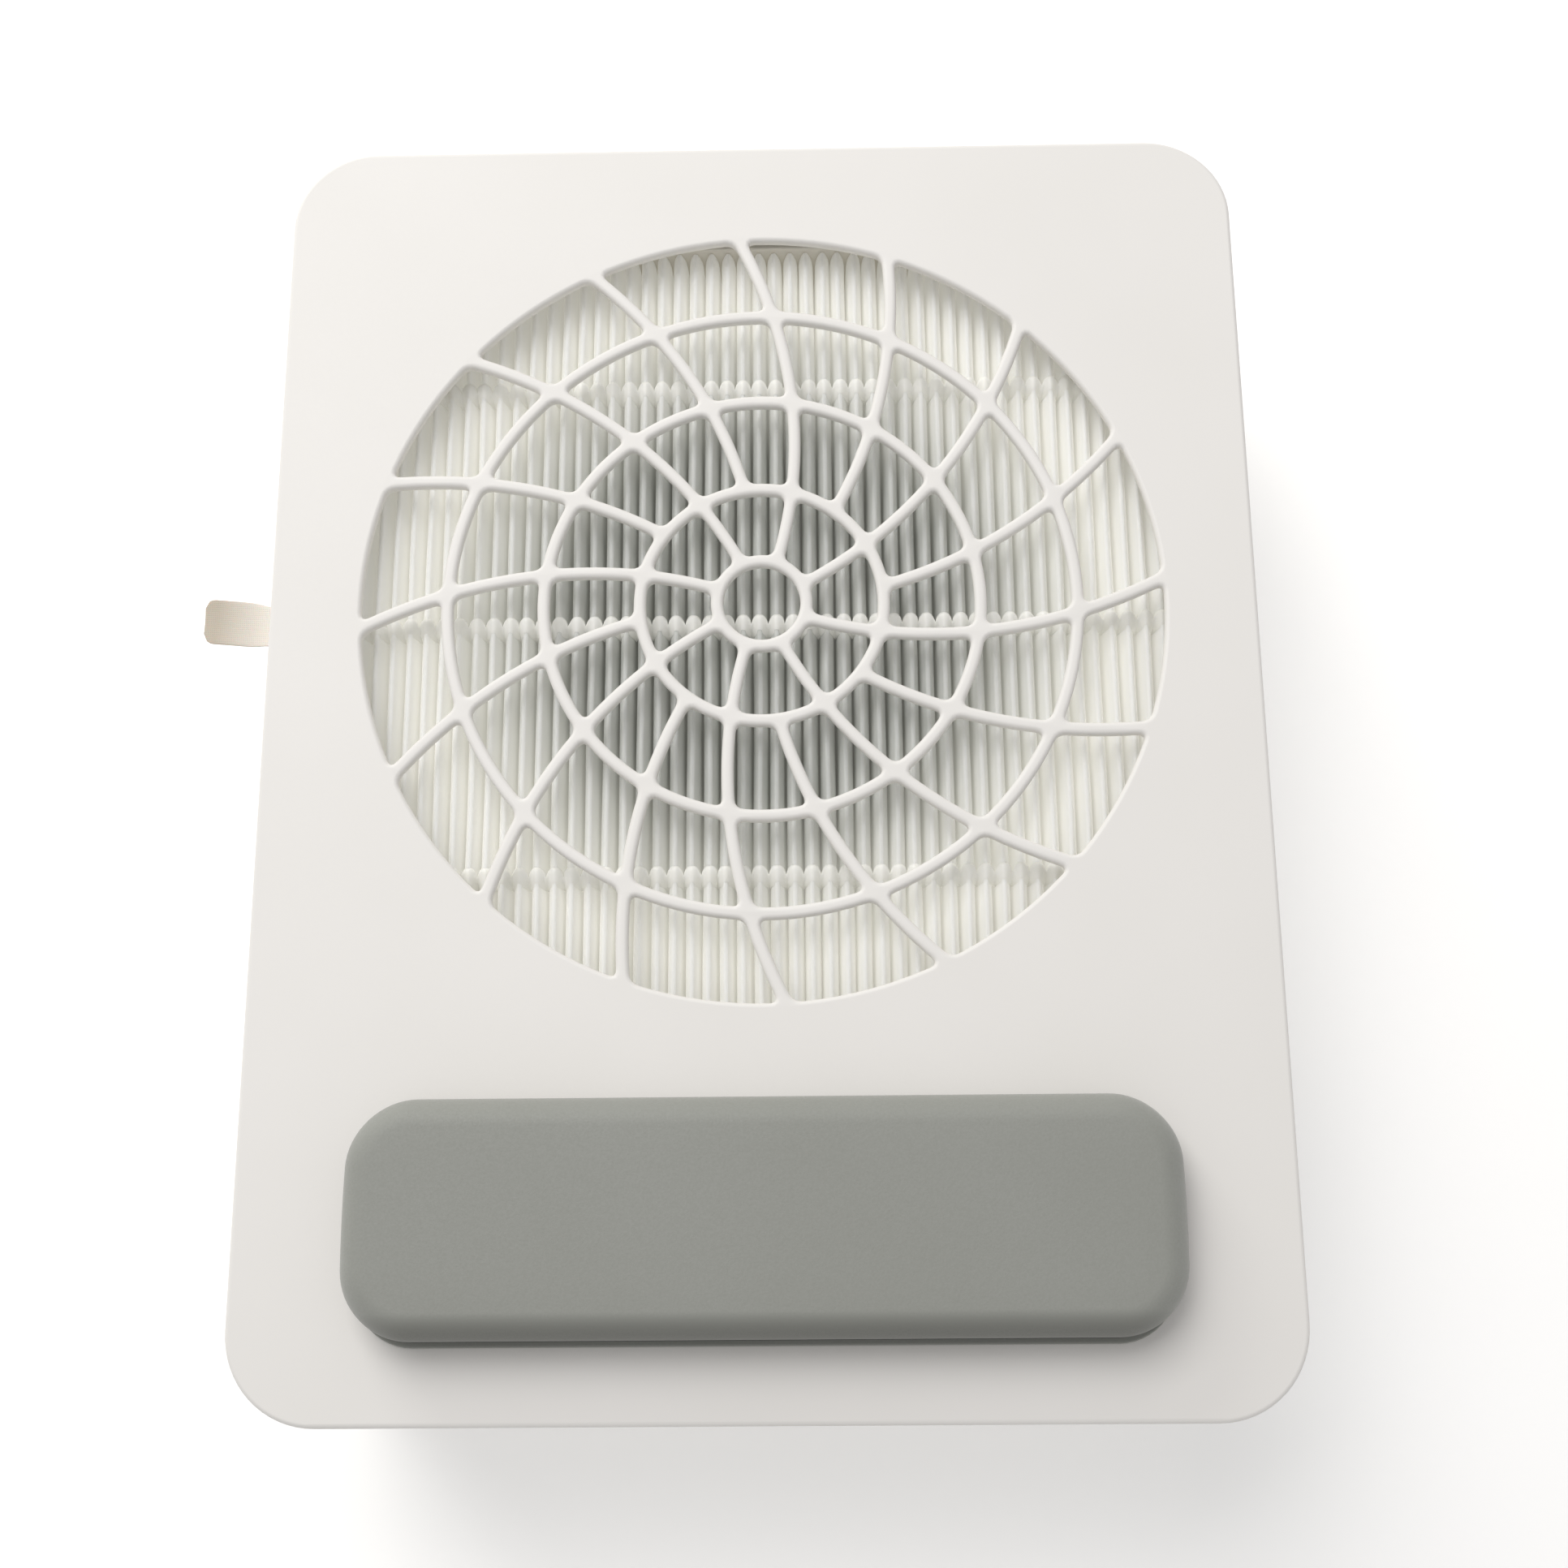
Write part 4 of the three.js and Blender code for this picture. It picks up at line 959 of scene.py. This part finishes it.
def bead_strip(name, node):
    """One bead: glue that stands up in a round dome at the rear of each ridge and thins to the front."""
    low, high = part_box(node)
    width = high.y - low.y
    bpy.ops.mesh.primitive_grid_add(x_subdivisions=12, y_subdivisions=10, size=1)
    strip = bpy.context.object
    strip.name = name
    for corner in strip.data.vertices:
        across, along = 2 * corner.co.x, corner.co.y + 0.5
        round_end = 1 - math.sqrt(max(0.0, 1 - min(1.0, abs(across)) ** 2))
        rear = width - 0.5 * pleat_step * round_end
        swell = (along * (2 - along)) ** 0.8 * math.sqrt(max(0.0, 1 - max(0.0, 4 * along - 3) ** 2))
        dip = (BEAD_DIP + BEAD_TAPER * (1 - along) ** 2) * across ** 2
        saddle = ridge_top - BEAD_SOAK - dip
        corner.co = (pack_low.x + pleat_step * (0.5 + across / 2), low.y + rear * along,
                     saddle + (BEAD_RISE + BEAD_SOAK) * swell)
    repeat_along_x(strip, pleat_count, pleat_step)
    for corner in strip.data.vertices:
        corner.co.x += ridge_sway(corner.co.x, corner.co.y)
    edit(strip)
    bpy.ops.mesh.select_all(action="SELECT")
    bpy.ops.mesh.extrude_region_move(TRANSFORM_OT_translate={"value": (0, 0, -BEAD_DEPTH)})
    return shade(close_up(strip), 60)


for place in ("front", "middle", "rear"):
    bead = bead_strip(f"hot_melt_bead_{place}", f"glue_bead_{place}")
    done(bead, "filter", "hot_melt", glue, f"glue_bead_{place}")

# %% Cassette frame
FRAME_WALL = 5 * MM
END_BLOCK = 12.5 * MM


def cassette_frame():
    low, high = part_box("filter_frame")
    inner_low = (low.x + END_BLOCK, low.y + FRAME_WALL)
    inner_high = (high.x - FRAME_WALL, high.y - FRAME_WALL)
    loops = [rounded_rectangle(low, high, 1.5 * MM, 5),
             rounded_rectangle(inner_low, inner_high, 1.0 * MM, 4)]
    return shade(cut_out("filter_cassette_frame", loops, low.z, high.z, 0.6 * MM))


done(cassette_frame(), "filter", "white_plastic", cream_frame, "filter_frame")

# %% [markdown]
# ## Pull tab
# A short end of ribbon, glued to the cassette's end block. It lies flat, passes over the outer edge and
# droops. It is a strip of faces whose rows follow that path, narrower towards its rounded end.

# %% Ribbon tab
TAB_CORNER = 2.4 * MM
TAB_SKEW = 2.8 * MM  # the free end wanders towards the rear
TAB_PINCH = 0.11  # how much narrower the ribbon is where it bends over the edge
TAB_THICKNESS = 0.55 * MM
TAB_DROOP = 1.15 * MM
TAB_ARCH = 0.25 * MM  # how far it bows up along its length and across it


def tab_height(share_out, across):
    """Height against the block's top, at a share of the way from its edge to the ribbon's free end."""
    arch = math.sin(math.pi * share_out) + across ** 2 * share_out - share_out
    return TAB_ARCH * arch - (TAB_DROOP - TAB_ARCH) * share_out ** 1.6


def pull_strap():
    low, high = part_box("pull_tab")
    edge_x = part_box("filter_frame")[0].x
    rows, columns = 30, 10
    half = (high.y - low.y) / 2 - 0.3 * MM
    middle = (low.y + high.y) / 2
    bpy.ops.mesh.primitive_grid_add(x_subdivisions=rows, y_subdivisions=columns, size=1)
    tab = bpy.context.object
    tab.name = "pull_strap"
    for corner in tab.data.vertices:
        share = (0.5 - corner.co.x) ** 0.8 if corner.co.x < 0.5 else 0.0
        across = 2 * corner.co.y
        x = high.x + (low.x - high.x) * share
        from_end = min(TAB_CORNER, x - low.x)
        round_off = TAB_CORNER - math.sqrt(TAB_CORNER ** 2 - (TAB_CORNER - from_end) ** 2)
        out = max(0.0, (edge_x - x) / (edge_x - low.x))
        pinch = 1 - TAB_PINCH * math.exp(-(((x - edge_x) / MM + 6.5) / 3.2) ** 2)
        y = middle + across * (half - round_off) * pinch + TAB_SKEW * (out - 0.35) * min(1, out * 3)
        corner.co = (x, y, high.z - 0.05 * MM + tab_height(out, across))
    close_up(tab)
    face_up(tab)
    thicken(tab, TAB_THICKNESS)
    return shade(break_edges(tab, 0.12 * MM, 1), 50)


tab = pull_strap()
done(tab, "filter", "strap", strap, "pull_tab")

# %% [markdown]
# ## Case
# The shell is a rounded box with no top or bottom, thickened inwards and then cut where the filter, the
# air and the controls pass through. Its edges are broken by half a millimetre, as a mould leaves them.

# %% Cutting holes
CASE_WALL = 3 * MM
CASE_CORNER = 16 * MM
CUT_REACH = 5 * MM  # how far a cutter stands out on both sides of a wall


def punch(piece, *cutters):
    """Cuts the cutters' shapes out of the piece and removes them."""
    for cutter in cutters:
        hole = piece.modifiers.new("Hole", "BOOLEAN")
        hole.operation = "DIFFERENCE"
        hole.solver = "EXACT"
        hole.object = cutter
    apply_modifiers(piece)
    select_only(*cutters)
    bpy.ops.object.delete()
    return piece


def slot_cutter(low, high, axis, radius):
    """A box with four rounded edges along one axis, to punch a slot with round corners."""
    piece = block("cutter", low, high)
    index = "XYZ".index(axis)
    length = high[index] - low[index]
    pick_edges(piece, lambda a, b: abs(a[index] - b[index]) > 0.9 * length)
    bpy.ops.mesh.bevel(offset=radius, segments=5, profile=0.5, affect="EDGES")
    select_only(piece)
    return piece


def drill(centre, radius, axis):
    turn = (0, math.pi / 2, 0) if axis == "X" else (math.pi / 2, 0, 0)
    bpy.ops.mesh.primitive_cylinder_add(vertices=48, radius=radius, depth=2 * CUT_REACH, location=centre,
                                        rotation=turn)
    return freeze(bpy.context.object)


print("hole makers ready: punch, slot_cutter, drill")

# %% Shell with its openings
def side_opening(wall_x, low, high, corner):
    """A cutter through a left or right wall, between two corners of the opening."""
    return slot_cutter((wall_x - CUT_REACH, low.y, low.z), (wall_x + CUT_REACH, high.y, high.z), "X", corner)


def case_openings():
    low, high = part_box("case_shell")
    frame_low, frame_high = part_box("filter_frame")
    play = 0.8 * MM
    slot_foot, slot_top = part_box("filter_deck")[0].z + CASE_WALL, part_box("pull_tab")[1].z + 0.3 * MM
    slot = side_opening(low.x, Vector((0, frame_low.y - play, slot_foot)),
                        Vector((0, frame_high.y + play, slot_top)), 0.8 * MM)
    grille_low, grille_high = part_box("exhaust_grille")
    inset = 4 * MM
    vent = slot_cutter((grille_low.x + inset, high.y - CUT_REACH, grille_low.z + inset),
                       (grille_high.x - inset, high.y + CUT_REACH, grille_high.z - inset), "Y", 1.5 * MM)
    bezel_low, bezel_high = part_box("switch_housing")
    lip = Vector((0, 1, 1)) * MM
    switch = side_opening(high.x, bezel_low + lip, bezel_high - lip, 0.5 * MM)
    shaft, jack = middle_of("control_shaft"), middle_of("power_jack")
    dial = drill((high.x, shaft.y, shaft.z), 4.6 * MM, "X")
    inlet = drill((jack.x, high.y, jack.z), 5.6 * MM, "Y")
    return slot, vent, switch, dial, inlet


def screw_boss(node):
    """A post inside the case that a long screw goes up through, with its hole."""
    middle = middle_of(node)
    hole, outside = 1.9, 4.6
    foot, head = (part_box("base_cover")[0].z + CASE_WALL) / MM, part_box("filter_deck")[0].z / MM
    profile = [(hole, foot), (outside, foot), (outside, head), (hole, head)]
    return turned("boss", profile, (middle.x, middle.y, 0), 32)


def case_shell():
    low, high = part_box("case_shell")
    shell = round_block("case_shell_moulding", low, high, CASE_CORNER, 14)
    pick_faces(shell, lambda c, n: abs(n.z) > 0.9)
    bpy.ops.mesh.delete(type="FACE")
    select_only(shell)
    thicken(shell, CASE_WALL)
    close_up(shell)
    punch(shell, *case_openings())
    break_edges(shell, 0.5 * MM, 2, 40)
    return merge_pieces(shell, *[screw_boss(f"case_screw_{corner}") for corner in corner_names])


shell = shade(case_shell())
done(shell, "case", "white_plastic", white_abs, "case_shell")

# %% [markdown]
# ## Small fixed parts
# Several parts are already the right shape in the frame, but their edges are knife-sharp and their faces
# are split in triangles. A copy of each is merged, its flat faces are made whole, and its edges broken.

# %% Copies of frame parts with real edges
def with_real_edges(node, name, rim, steps=2, angle=32):
    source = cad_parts[node]
    piece = bpy.data.objects.new(name, source.data.copy())
    scene.collection.objects.link(piece)
    edit(piece)
    bpy.ops.mesh.select_all(action="SELECT")
    bpy.ops.mesh.remove_doubles(threshold=0.003 * MM)
    bpy.ops.mesh.dissolve_limited(angle_limit=math.radians(0.5))
    select_only(piece)
    return shade(break_edges(piece, rim, steps, angle), 38)


copied_parts = {
    "base_cover": ("case", "white_plastic", white_abs, 0.4),
    "filter_deck": ("case", "white_plastic", white_abs, 0.3),
    "fan_housing": ("case", "dark_plastic", black_abs, 0.4),
    "housing_seal": ("case", "rubber", nitrile_rubber, 0.3),
    "switch_housing": ("case", "dark_plastic", black_abs, 0.35),
    "speed_control": ("case", "dark_plastic", black_abs, 0.3),
    "jack_nut": ("case", "steel", zinc, 0.3),
    "circuit_board": ("case", "circuit_board", board_green, 0.2),
    "impeller_nut": ("fan", "steel", zinc, 0.4),
}
for node, (body, slot_name, material, rim) in copied_parts.items():
    piece = with_real_edges(node, f"{node}_finished", rim * MM)
    done(piece, body, slot_name, material, node)

# %% Finishes for the frame parts that stay as they are
kept_parts = {
    "rubber": (nitrile_rubber, ["fan_grommet_1", "fan_grommet_2", "fan_grommet_3"]),
    "steel": (zinc, ["fan_screw_1", "fan_screw_2", "fan_screw_3", "motor_shaft", "control_shaft",
                     *[f"plate_magnet_{corner}" for corner in corner_names],
                     *[f"post_keeper_{corner}" for corner in corner_names]]),
    "wire_cover": (wire_cover, ["jack_lead", "switch_lead", "motor_lead"]),
}
for material, nodes in kept_parts.values():
    for node in nodes:
        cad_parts[node].material_slots[0].material = material
print("kept as they are:", sum(len(nodes) for _, nodes in kept_parts.values()))

# %% [markdown]
# ## Feet and screws
# Underneath are four moulded rubber feet and the heads of four long screws. All are round, so each is half
# a section spun round its axis, which keeps every rim true. A screw's cross recess is then cut out with two
# thin blocks, since the recess has flat sides that no spin could make.

# %% Feet and case screws
def rubber_foot(name, node):
    """A turned rubber foot: a rounded rim, a shallow dish underneath and a peg that plugs in."""
    low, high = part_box(node)
    middle = middle_of(node)
    foot, recess, peg_top = low.z / MM, 0.8, high.z / MM
    profile = [(0, foot + 0.6), (5.2, foot + 0.6), (5.8, foot), (6.9, foot), (7.5, foot + 0.25),
               (7.85, foot + 0.7), (8, foot + 1.3), (8, recess), (2.6, recess), (2.6, peg_top),
               (0, peg_top)]
    return shade(turned(name, profile, (middle.x, middle.y, 0), 56), 30)


def case_screw(name, node):
    """A pan-head screw with a cross recess, seen from below."""
    low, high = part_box(node)
    middle = middle_of(node)
    head, tip_z = low.z / MM, high.z / MM
    profile = [(0, head), (1.9, head), (2.7, head + 0.25), (3.1, head + 0.8), (3.1, head + 1.6),
               (1.6, head + 1.6), (1.6, tip_z - 1), (0.9, tip_z), (0, tip_z)]
    screw = turned(name, profile, (middle.x, middle.y, 0), 40)
    deep, proud = Vector((0, 0, 1.1 * MM)), Vector((0, 0, -1 * MM))
    under = Vector((middle.x, middle.y, low.z))
    wings = [block("cutter", under - half * MM + proud, under + half * MM + deep)
             for half in (Vector((1.6, 0.35, 0)), Vector((0.35, 1.6, 0)))]
    return shade(punch(screw, *wings), 30)


for corner in corner_names:
    foot = rubber_foot(f"rubber_foot_{corner}", f"foot_{corner}")
    done(foot, "case", "rubber", nitrile_rubber, f"foot_{corner}")
    screw = case_screw(f"pan_head_screw_{corner}", f"case_screw_{corner}")
    done(screw, "case", "steel", zinc, f"case_screw_{corner}")

# %% [markdown]
# ## Exhaust grille
# A black insert plugged into the rear wall: a thin flange, a sleeve that grips the opening, and upright
# bars. Slots could be punched through a plate, but bars set into a frame come out clean at their ends, and
# each one can have its own rounded edges first.

# %% Exhaust grille
VENT_BARS = 9
VENT_BAR = 2.2 * MM
VENT_FLANGE = 4.3 * MM  # how far the flange reaches past the sleeve
VENT_BORDER = 2 * MM
VENT_CORNER = 1.2 * MM
VENT_OVERLAP = 0.6 * MM  # how far a bar's ends reach into the border


def window(low, high, inset, corner):
    """A rounded rectangle in the grille's own plane, this far in from its edge."""
    return rounded_rectangle((low.x + inset, low.z + inset), (high.x - inset, high.z - inset), corner)


def vent_bars(low, high):
    """Upright bars across the window, each with its edges broken."""
    margin = VENT_FLANGE + VENT_BORDER
    left, right = low.x + margin, high.x - margin
    step = (right - left + VENT_BAR) / (VENT_BARS + 1)
    bars = []
    for i in range(1, VENT_BARS + 1):
        x = left + i * step - VENT_BAR
        bar = block("bar", (x, low.y + 0.2 * MM, low.z + margin - VENT_OVERLAP),
                    (x + VENT_BAR, high.y - 0.5 * MM, high.z - margin + VENT_OVERLAP))
        bars.append(break_edges(bar, 0.45 * MM, 3, 60))
    return bars


def exhaust_grille():
    """A flange round a window of upright bars, and the sleeve that plugs it into the rear wall."""
    low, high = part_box("exhaust_grille")
    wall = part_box("case_shell")[1].y
    opening = window(low, high, VENT_FLANGE + VENT_BORDER, VENT_CORNER)
    flange = cut_out("exhaust_grille_moulding", [window(low, high, 0, 4 * MM), opening],
                     -high.y, -wall, 0.5 * MM)
    sleeve = cut_out("sleeve", [window(low, high, VENT_FLANGE, VENT_CORNER), opening],
                     -wall - 0.1 * MM, -low.y, 0.2 * MM, 1)
    return shade(merge_pieces(tip(flange, "Y"), tip(sleeve, "Y"), *vent_bars(low, high)))


done(exhaust_grille(), "case", "dark_plastic", black_abs, "exhaust_grille")

# %% [markdown]
# ## Controls and power inlet
# A fluted knob and a rocker sit on the right side, and a round inlet on the rear. The knob and the inlet are
# spun. The knob's flutes are made by moving its corners in and out, not by cutting, so its mesh stays closed.
# The rocker is a block cut into rows, so that its face can be dished.

# %% Speed knob
KNOB_FLUTES = 30
KNOB_FLUTE_DEPTH = 0.6 * MM
KNOB_RIM = 0.9 * MM
KNOB_CAP = 0.7 * MM  # how far the cap stands out of the grip


def cut_flutes(grip, radius):
    """Presses the side of the grip in between its ribs, fading out round both rims."""
    inner = radius - KNOB_RIM
    for corner in grip.data.vertices:
        out = math.hypot(corner.co.x, corner.co.y)
        if out > inner:
            wave = (1 - math.cos(KNOB_FLUTES * math.atan2(corner.co.y, corner.co.x))) / 2
            share = (out - inner) / (radius - inner)
            scale = 1 - KNOB_FLUTE_DEPTH * wave * share / out
            corner.co.x *= scale
            corner.co.y *= scale


def speed_knob():
    """A fluted knob with a shallow cap, made upright and then laid over."""
    low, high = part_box("speed_knob")
    centre = middle_of("speed_knob")
    radius, length = (high.z - low.z) / 2, (high.x - low.x) / MM
    rim, side, grip_length = KNOB_RIM / MM, (radius - KNOB_RIM) / MM, length - KNOB_CAP / MM
    profile = ([(0, 0)] + arc((side, rim), rim, -math.pi / 2, 0, 4)
               + arc((side, grip_length - rim), rim, 0, math.pi / 2, 4) + [(0, grip_length)])
    grip = turned("speed_knob_grip", profile, (0, 0, low.x), KNOB_FLUTES * 8)
    cut_flutes(grip, radius)
    cap_profile = [(0, length - 1), (8.6, length - 1), (8.6, length - 0.4), (8.2, length), (7.6, length),
                   (6.8, length - 0.25), (0, length - 0.35)]
    cap = turned("cap", cap_profile, (0, 0, low.x), 72)
    merge_pieces(grip, cap)
    tip(grip, "X")
    return shade(shift(grip, (0, centre.y, centre.z)), 35)


def knob_pointer():
    """A white line let into the cap, which points up at rest."""
    face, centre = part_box("speed_knob")[1].x, middle_of("speed_knob")
    line = slot_cutter((face - 0.9 * MM, centre.y - 0.55 * MM, centre.z + 3 * MM),
                       (face - 0.05 * MM, centre.y + 0.55 * MM, centre.z + 8.4 * MM), "X", 0.5 * MM)
    line.name = "speed_knob_pointer"
    return shade(break_edges(line, 0.12 * MM))


done(speed_knob(), "speed_dial", "dark_plastic", black_abs, "speed_knob")
done(knob_pointer(), "speed_dial", "white_plastic", white_abs)

# %% Rocker
ROCKER_DISH = 1.1 * MM  # how deep the middle of its face lies
ROCKER_TAPER = 0.6  # the height of its back against its face
ROCKER_TILT = math.radians(8)


def power_rocker():
    """A rocker with a dished face. It is made upright and then tilted about its pivot."""
    low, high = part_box("power_rocker")
    middle = middle_of("power_rocker")
    pivot = Vector((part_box("case_shell")[1].x - 1 * MM, middle.y, middle.z + 0.2 * MM))
    half_y, half_z = (high.y - low.y) / 2, 8.5 * MM
    cap = block("power_rocker_cap", (-6 * MM, -half_y, -half_z), (4.0 * MM, half_y, half_z))
    cut_rows(cap, "Z", -half_z, half_z, 12)
    for corner in cap.data.vertices:
        if corner.co.x > 0:
            corner.co.x -= ROCKER_DISH * (1 - (corner.co.z / half_z) ** 2)
        else:
            corner.co.z *= ROCKER_TAPER
    break_edges(cap, 0.45 * MM, 3, 50)
    cap.rotation_euler = (0, ROCKER_TILT, 0)
    cap.location = pivot
    return shade(freeze(cap), 50)


done(power_rocker(), "power_switch", "dark_plastic", black_abs, "power_rocker")

# %% Power jack
def power_jack():
    """The round inlet for a plug: a flanged barrel with a bore, and a pin at its centre."""
    low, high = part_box("power_jack")
    centre = middle_of("power_jack")
    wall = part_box("case_shell")[1].y / MM
    back, face = low.y / MM, high.y / MM
    profile = [(0, back), (5.2, back), (5.4, back + 0.3), (5.4, wall), (6.7, wall), (7, wall + 0.3),
               (7, face - 0.5), (6.6, face), (3.3, face), (2.9, face - 0.4), (2.9, back + 2), (0, back + 2)]
    barrel = turned("power_jack_barrel", [(r, -h) for r, h in profile][::-1], (0, 0, 0), 64)
    tip(barrel, "Y")
    return shade(shift(barrel, (centre.x, 0, centre.z)), 30)


def jack_pin():
    low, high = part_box("power_jack")
    centre = middle_of("power_jack")
    root, end = low.y / MM + 1.5, high.y / MM - 1.6
    profile = [(0, root), (1.05, root), (1.05, end - 0.5), (0.7, end), (0, end)]
    pin = turned("power_jack_pin", [(r, -h) for r, h in profile][::-1], (0, 0, 0), 32)
    tip(pin, "Y")
    return shade(shift(pin, (centre.x, 0, centre.z)), 30)


done(power_jack(), "case", "dark_plastic", black_abs, "power_jack")
done(jack_pin(), "case", "steel", zinc)

# %% [markdown]
# ## Fan
# With the plate lifted and the filter out, the fan shows through its inlet: a bell-mouthed ring, a wire
# guard and a wheel of eighteen swept blades between a disc and a ring.

# %% Inlet ring and guard
def inlet_ring():
    low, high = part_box("inlet_ring")
    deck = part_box("filter_deck")[0].z / MM
    foot, top = low.z / MM, high.z / MM
    throat, mouth, lip = 50, 60.5, top - 0.4
    profile = [(throat, foot + 0.3), (50.3, foot), (51.5, foot), (53, deck - 1.5), (68, deck - 1.5),
               (68, deck), (62, deck), (62, top - 0.3), (61.7, top), (61, top), (mouth, lip)]
    turns = [math.pi / 2 * i / 10 for i in range(1, 11)]
    bell = [(mouth - (mouth - throat) * math.sin(turn), lip - (top - foot - 3) * (1 - math.cos(turn)))
            for turn in turns]
    return shade(turned("inlet_bell", profile + bell, (fan_centre.x, fan_centre.y, 0), 96), 30)


def wire_guard():
    """Three wire rings on three wires laid across them, all of 2 mm wire."""
    low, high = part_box("finger_guard")
    wire = (high.z - low.z) / 2
    reach = (high.x - low.x) / 2 - wire
    middle = middle_of("finger_guard")
    pieces = []
    for share in (0.19, 0.59, 1):
        bpy.ops.mesh.primitive_torus_add(major_radius=reach * share, minor_radius=wire, major_segments=72,
                                         minor_segments=12, location=middle)
        pieces.append(freeze(bpy.context.object))
    for turn in (90, 150, 210):
        bpy.ops.mesh.primitive_cylinder_add(vertices=12, radius=wire * 0.9, depth=2 * reach,
                                            location=middle,
                                            rotation=(math.pi / 2, 0, math.radians(turn)))
        pieces.append(freeze(bpy.context.object))
    guard = merge_pieces(*pieces)
    guard.name = "fan_wire_guard"
    return shade(guard, 40)


done(inlet_ring(), "case", "white_plastic", white_abs, "inlet_ring")
done(wire_guard(), "case", "dark_plastic", black_abs, "finger_guard")

# %% Fan wheel
BLADES = 18
BLADE_ROOT, BLADE_REACH = 48 * MM, 26.5 * MM
BLADE_SWEEP = math.radians(26)
BLADE_THICKNESS = 1.4 * MM


def swept_blade(low_z, high_z):
    """One blade, a thin curved wall that leans back as it goes outwards."""
    steps = 10
    shares = [i / steps for i in range(steps + 1)]
    line = [(BLADE_ROOT + BLADE_REACH * share, -BLADE_SWEEP * share ** 2) for share in shares]

    def wall(side):
        turned_line = [(radius, angle + side * BLADE_THICKNESS / 2 / radius) for radius, angle in line]
        return [(radius * math.cos(angle), radius * math.sin(angle)) for radius, angle in turned_line]

    return cut_out("blade", [wall(-1) + wall(1)[::-1]], low_z, high_z, 0.3 * MM, 1)


def fan_wheel():
    low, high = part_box("impeller")
    foot, top = low.z / MM, high.z / MM
    rim, bore, cup, lid = 75, 3.3, 31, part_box("motor")[1].z / MM + 2
    hub = [(cup, foot), (rim, foot), (rim, foot + 2), (cup + 3.5, foot + 2), (cup + 2.5, foot + 2.4),
           (cup + 2, foot + 3.4), (cup + 2, lid), (cup + 1.4, lid + 1.3), (cup, lid + 2), (bore, lid + 2),
           (bore, lid), (cup, lid)]
    wheel = turned("fan_wheel", hub, (0, 0, 0), 96)
    ring = [(55, top - 2), (rim, top - 2), (rim, top), (56, top), (55, top - 0.6)]
    shroud = turned("shroud", ring, (0, 0, 0), 96)
    blade = swept_blade(low.z + 1 * MM, high.z - 1 * MM)
    blades = [blade]
    for number in range(1, BLADES):
        copy = bpy.data.objects.new("blade", blade.data.copy())
        scene.collection.objects.link(copy)
        copy.rotation_euler.z = 2 * math.pi * number / BLADES
        blades.append(freeze(copy))
    merge_pieces(wheel, shroud, *blades)
    return shade(shift(wheel, (fan_centre.x, fan_centre.y, 0)), 35)


def motor_can():
    """A drawn steel can with a rounded shoulder and a bearing boss."""
    low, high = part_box("motor")
    foot, top = low.z / MM, high.z / MM
    profile = [(0, foot), (27.6, foot), (28, foot + 0.4), (28, top - 2.5), (27.2, top - 0.9),
               (25.5, top), (7, top), (3.3, top), (3.3, foot + 2), (0, foot + 2)]
    return shade(turned("motor_can", profile, (fan_centre.x, fan_centre.y, 0), 72), 30)


done(fan_wheel(), "fan", "white_plastic", white_abs, "impeller")
done(motor_can(), "case", "steel", zinc, "motor")
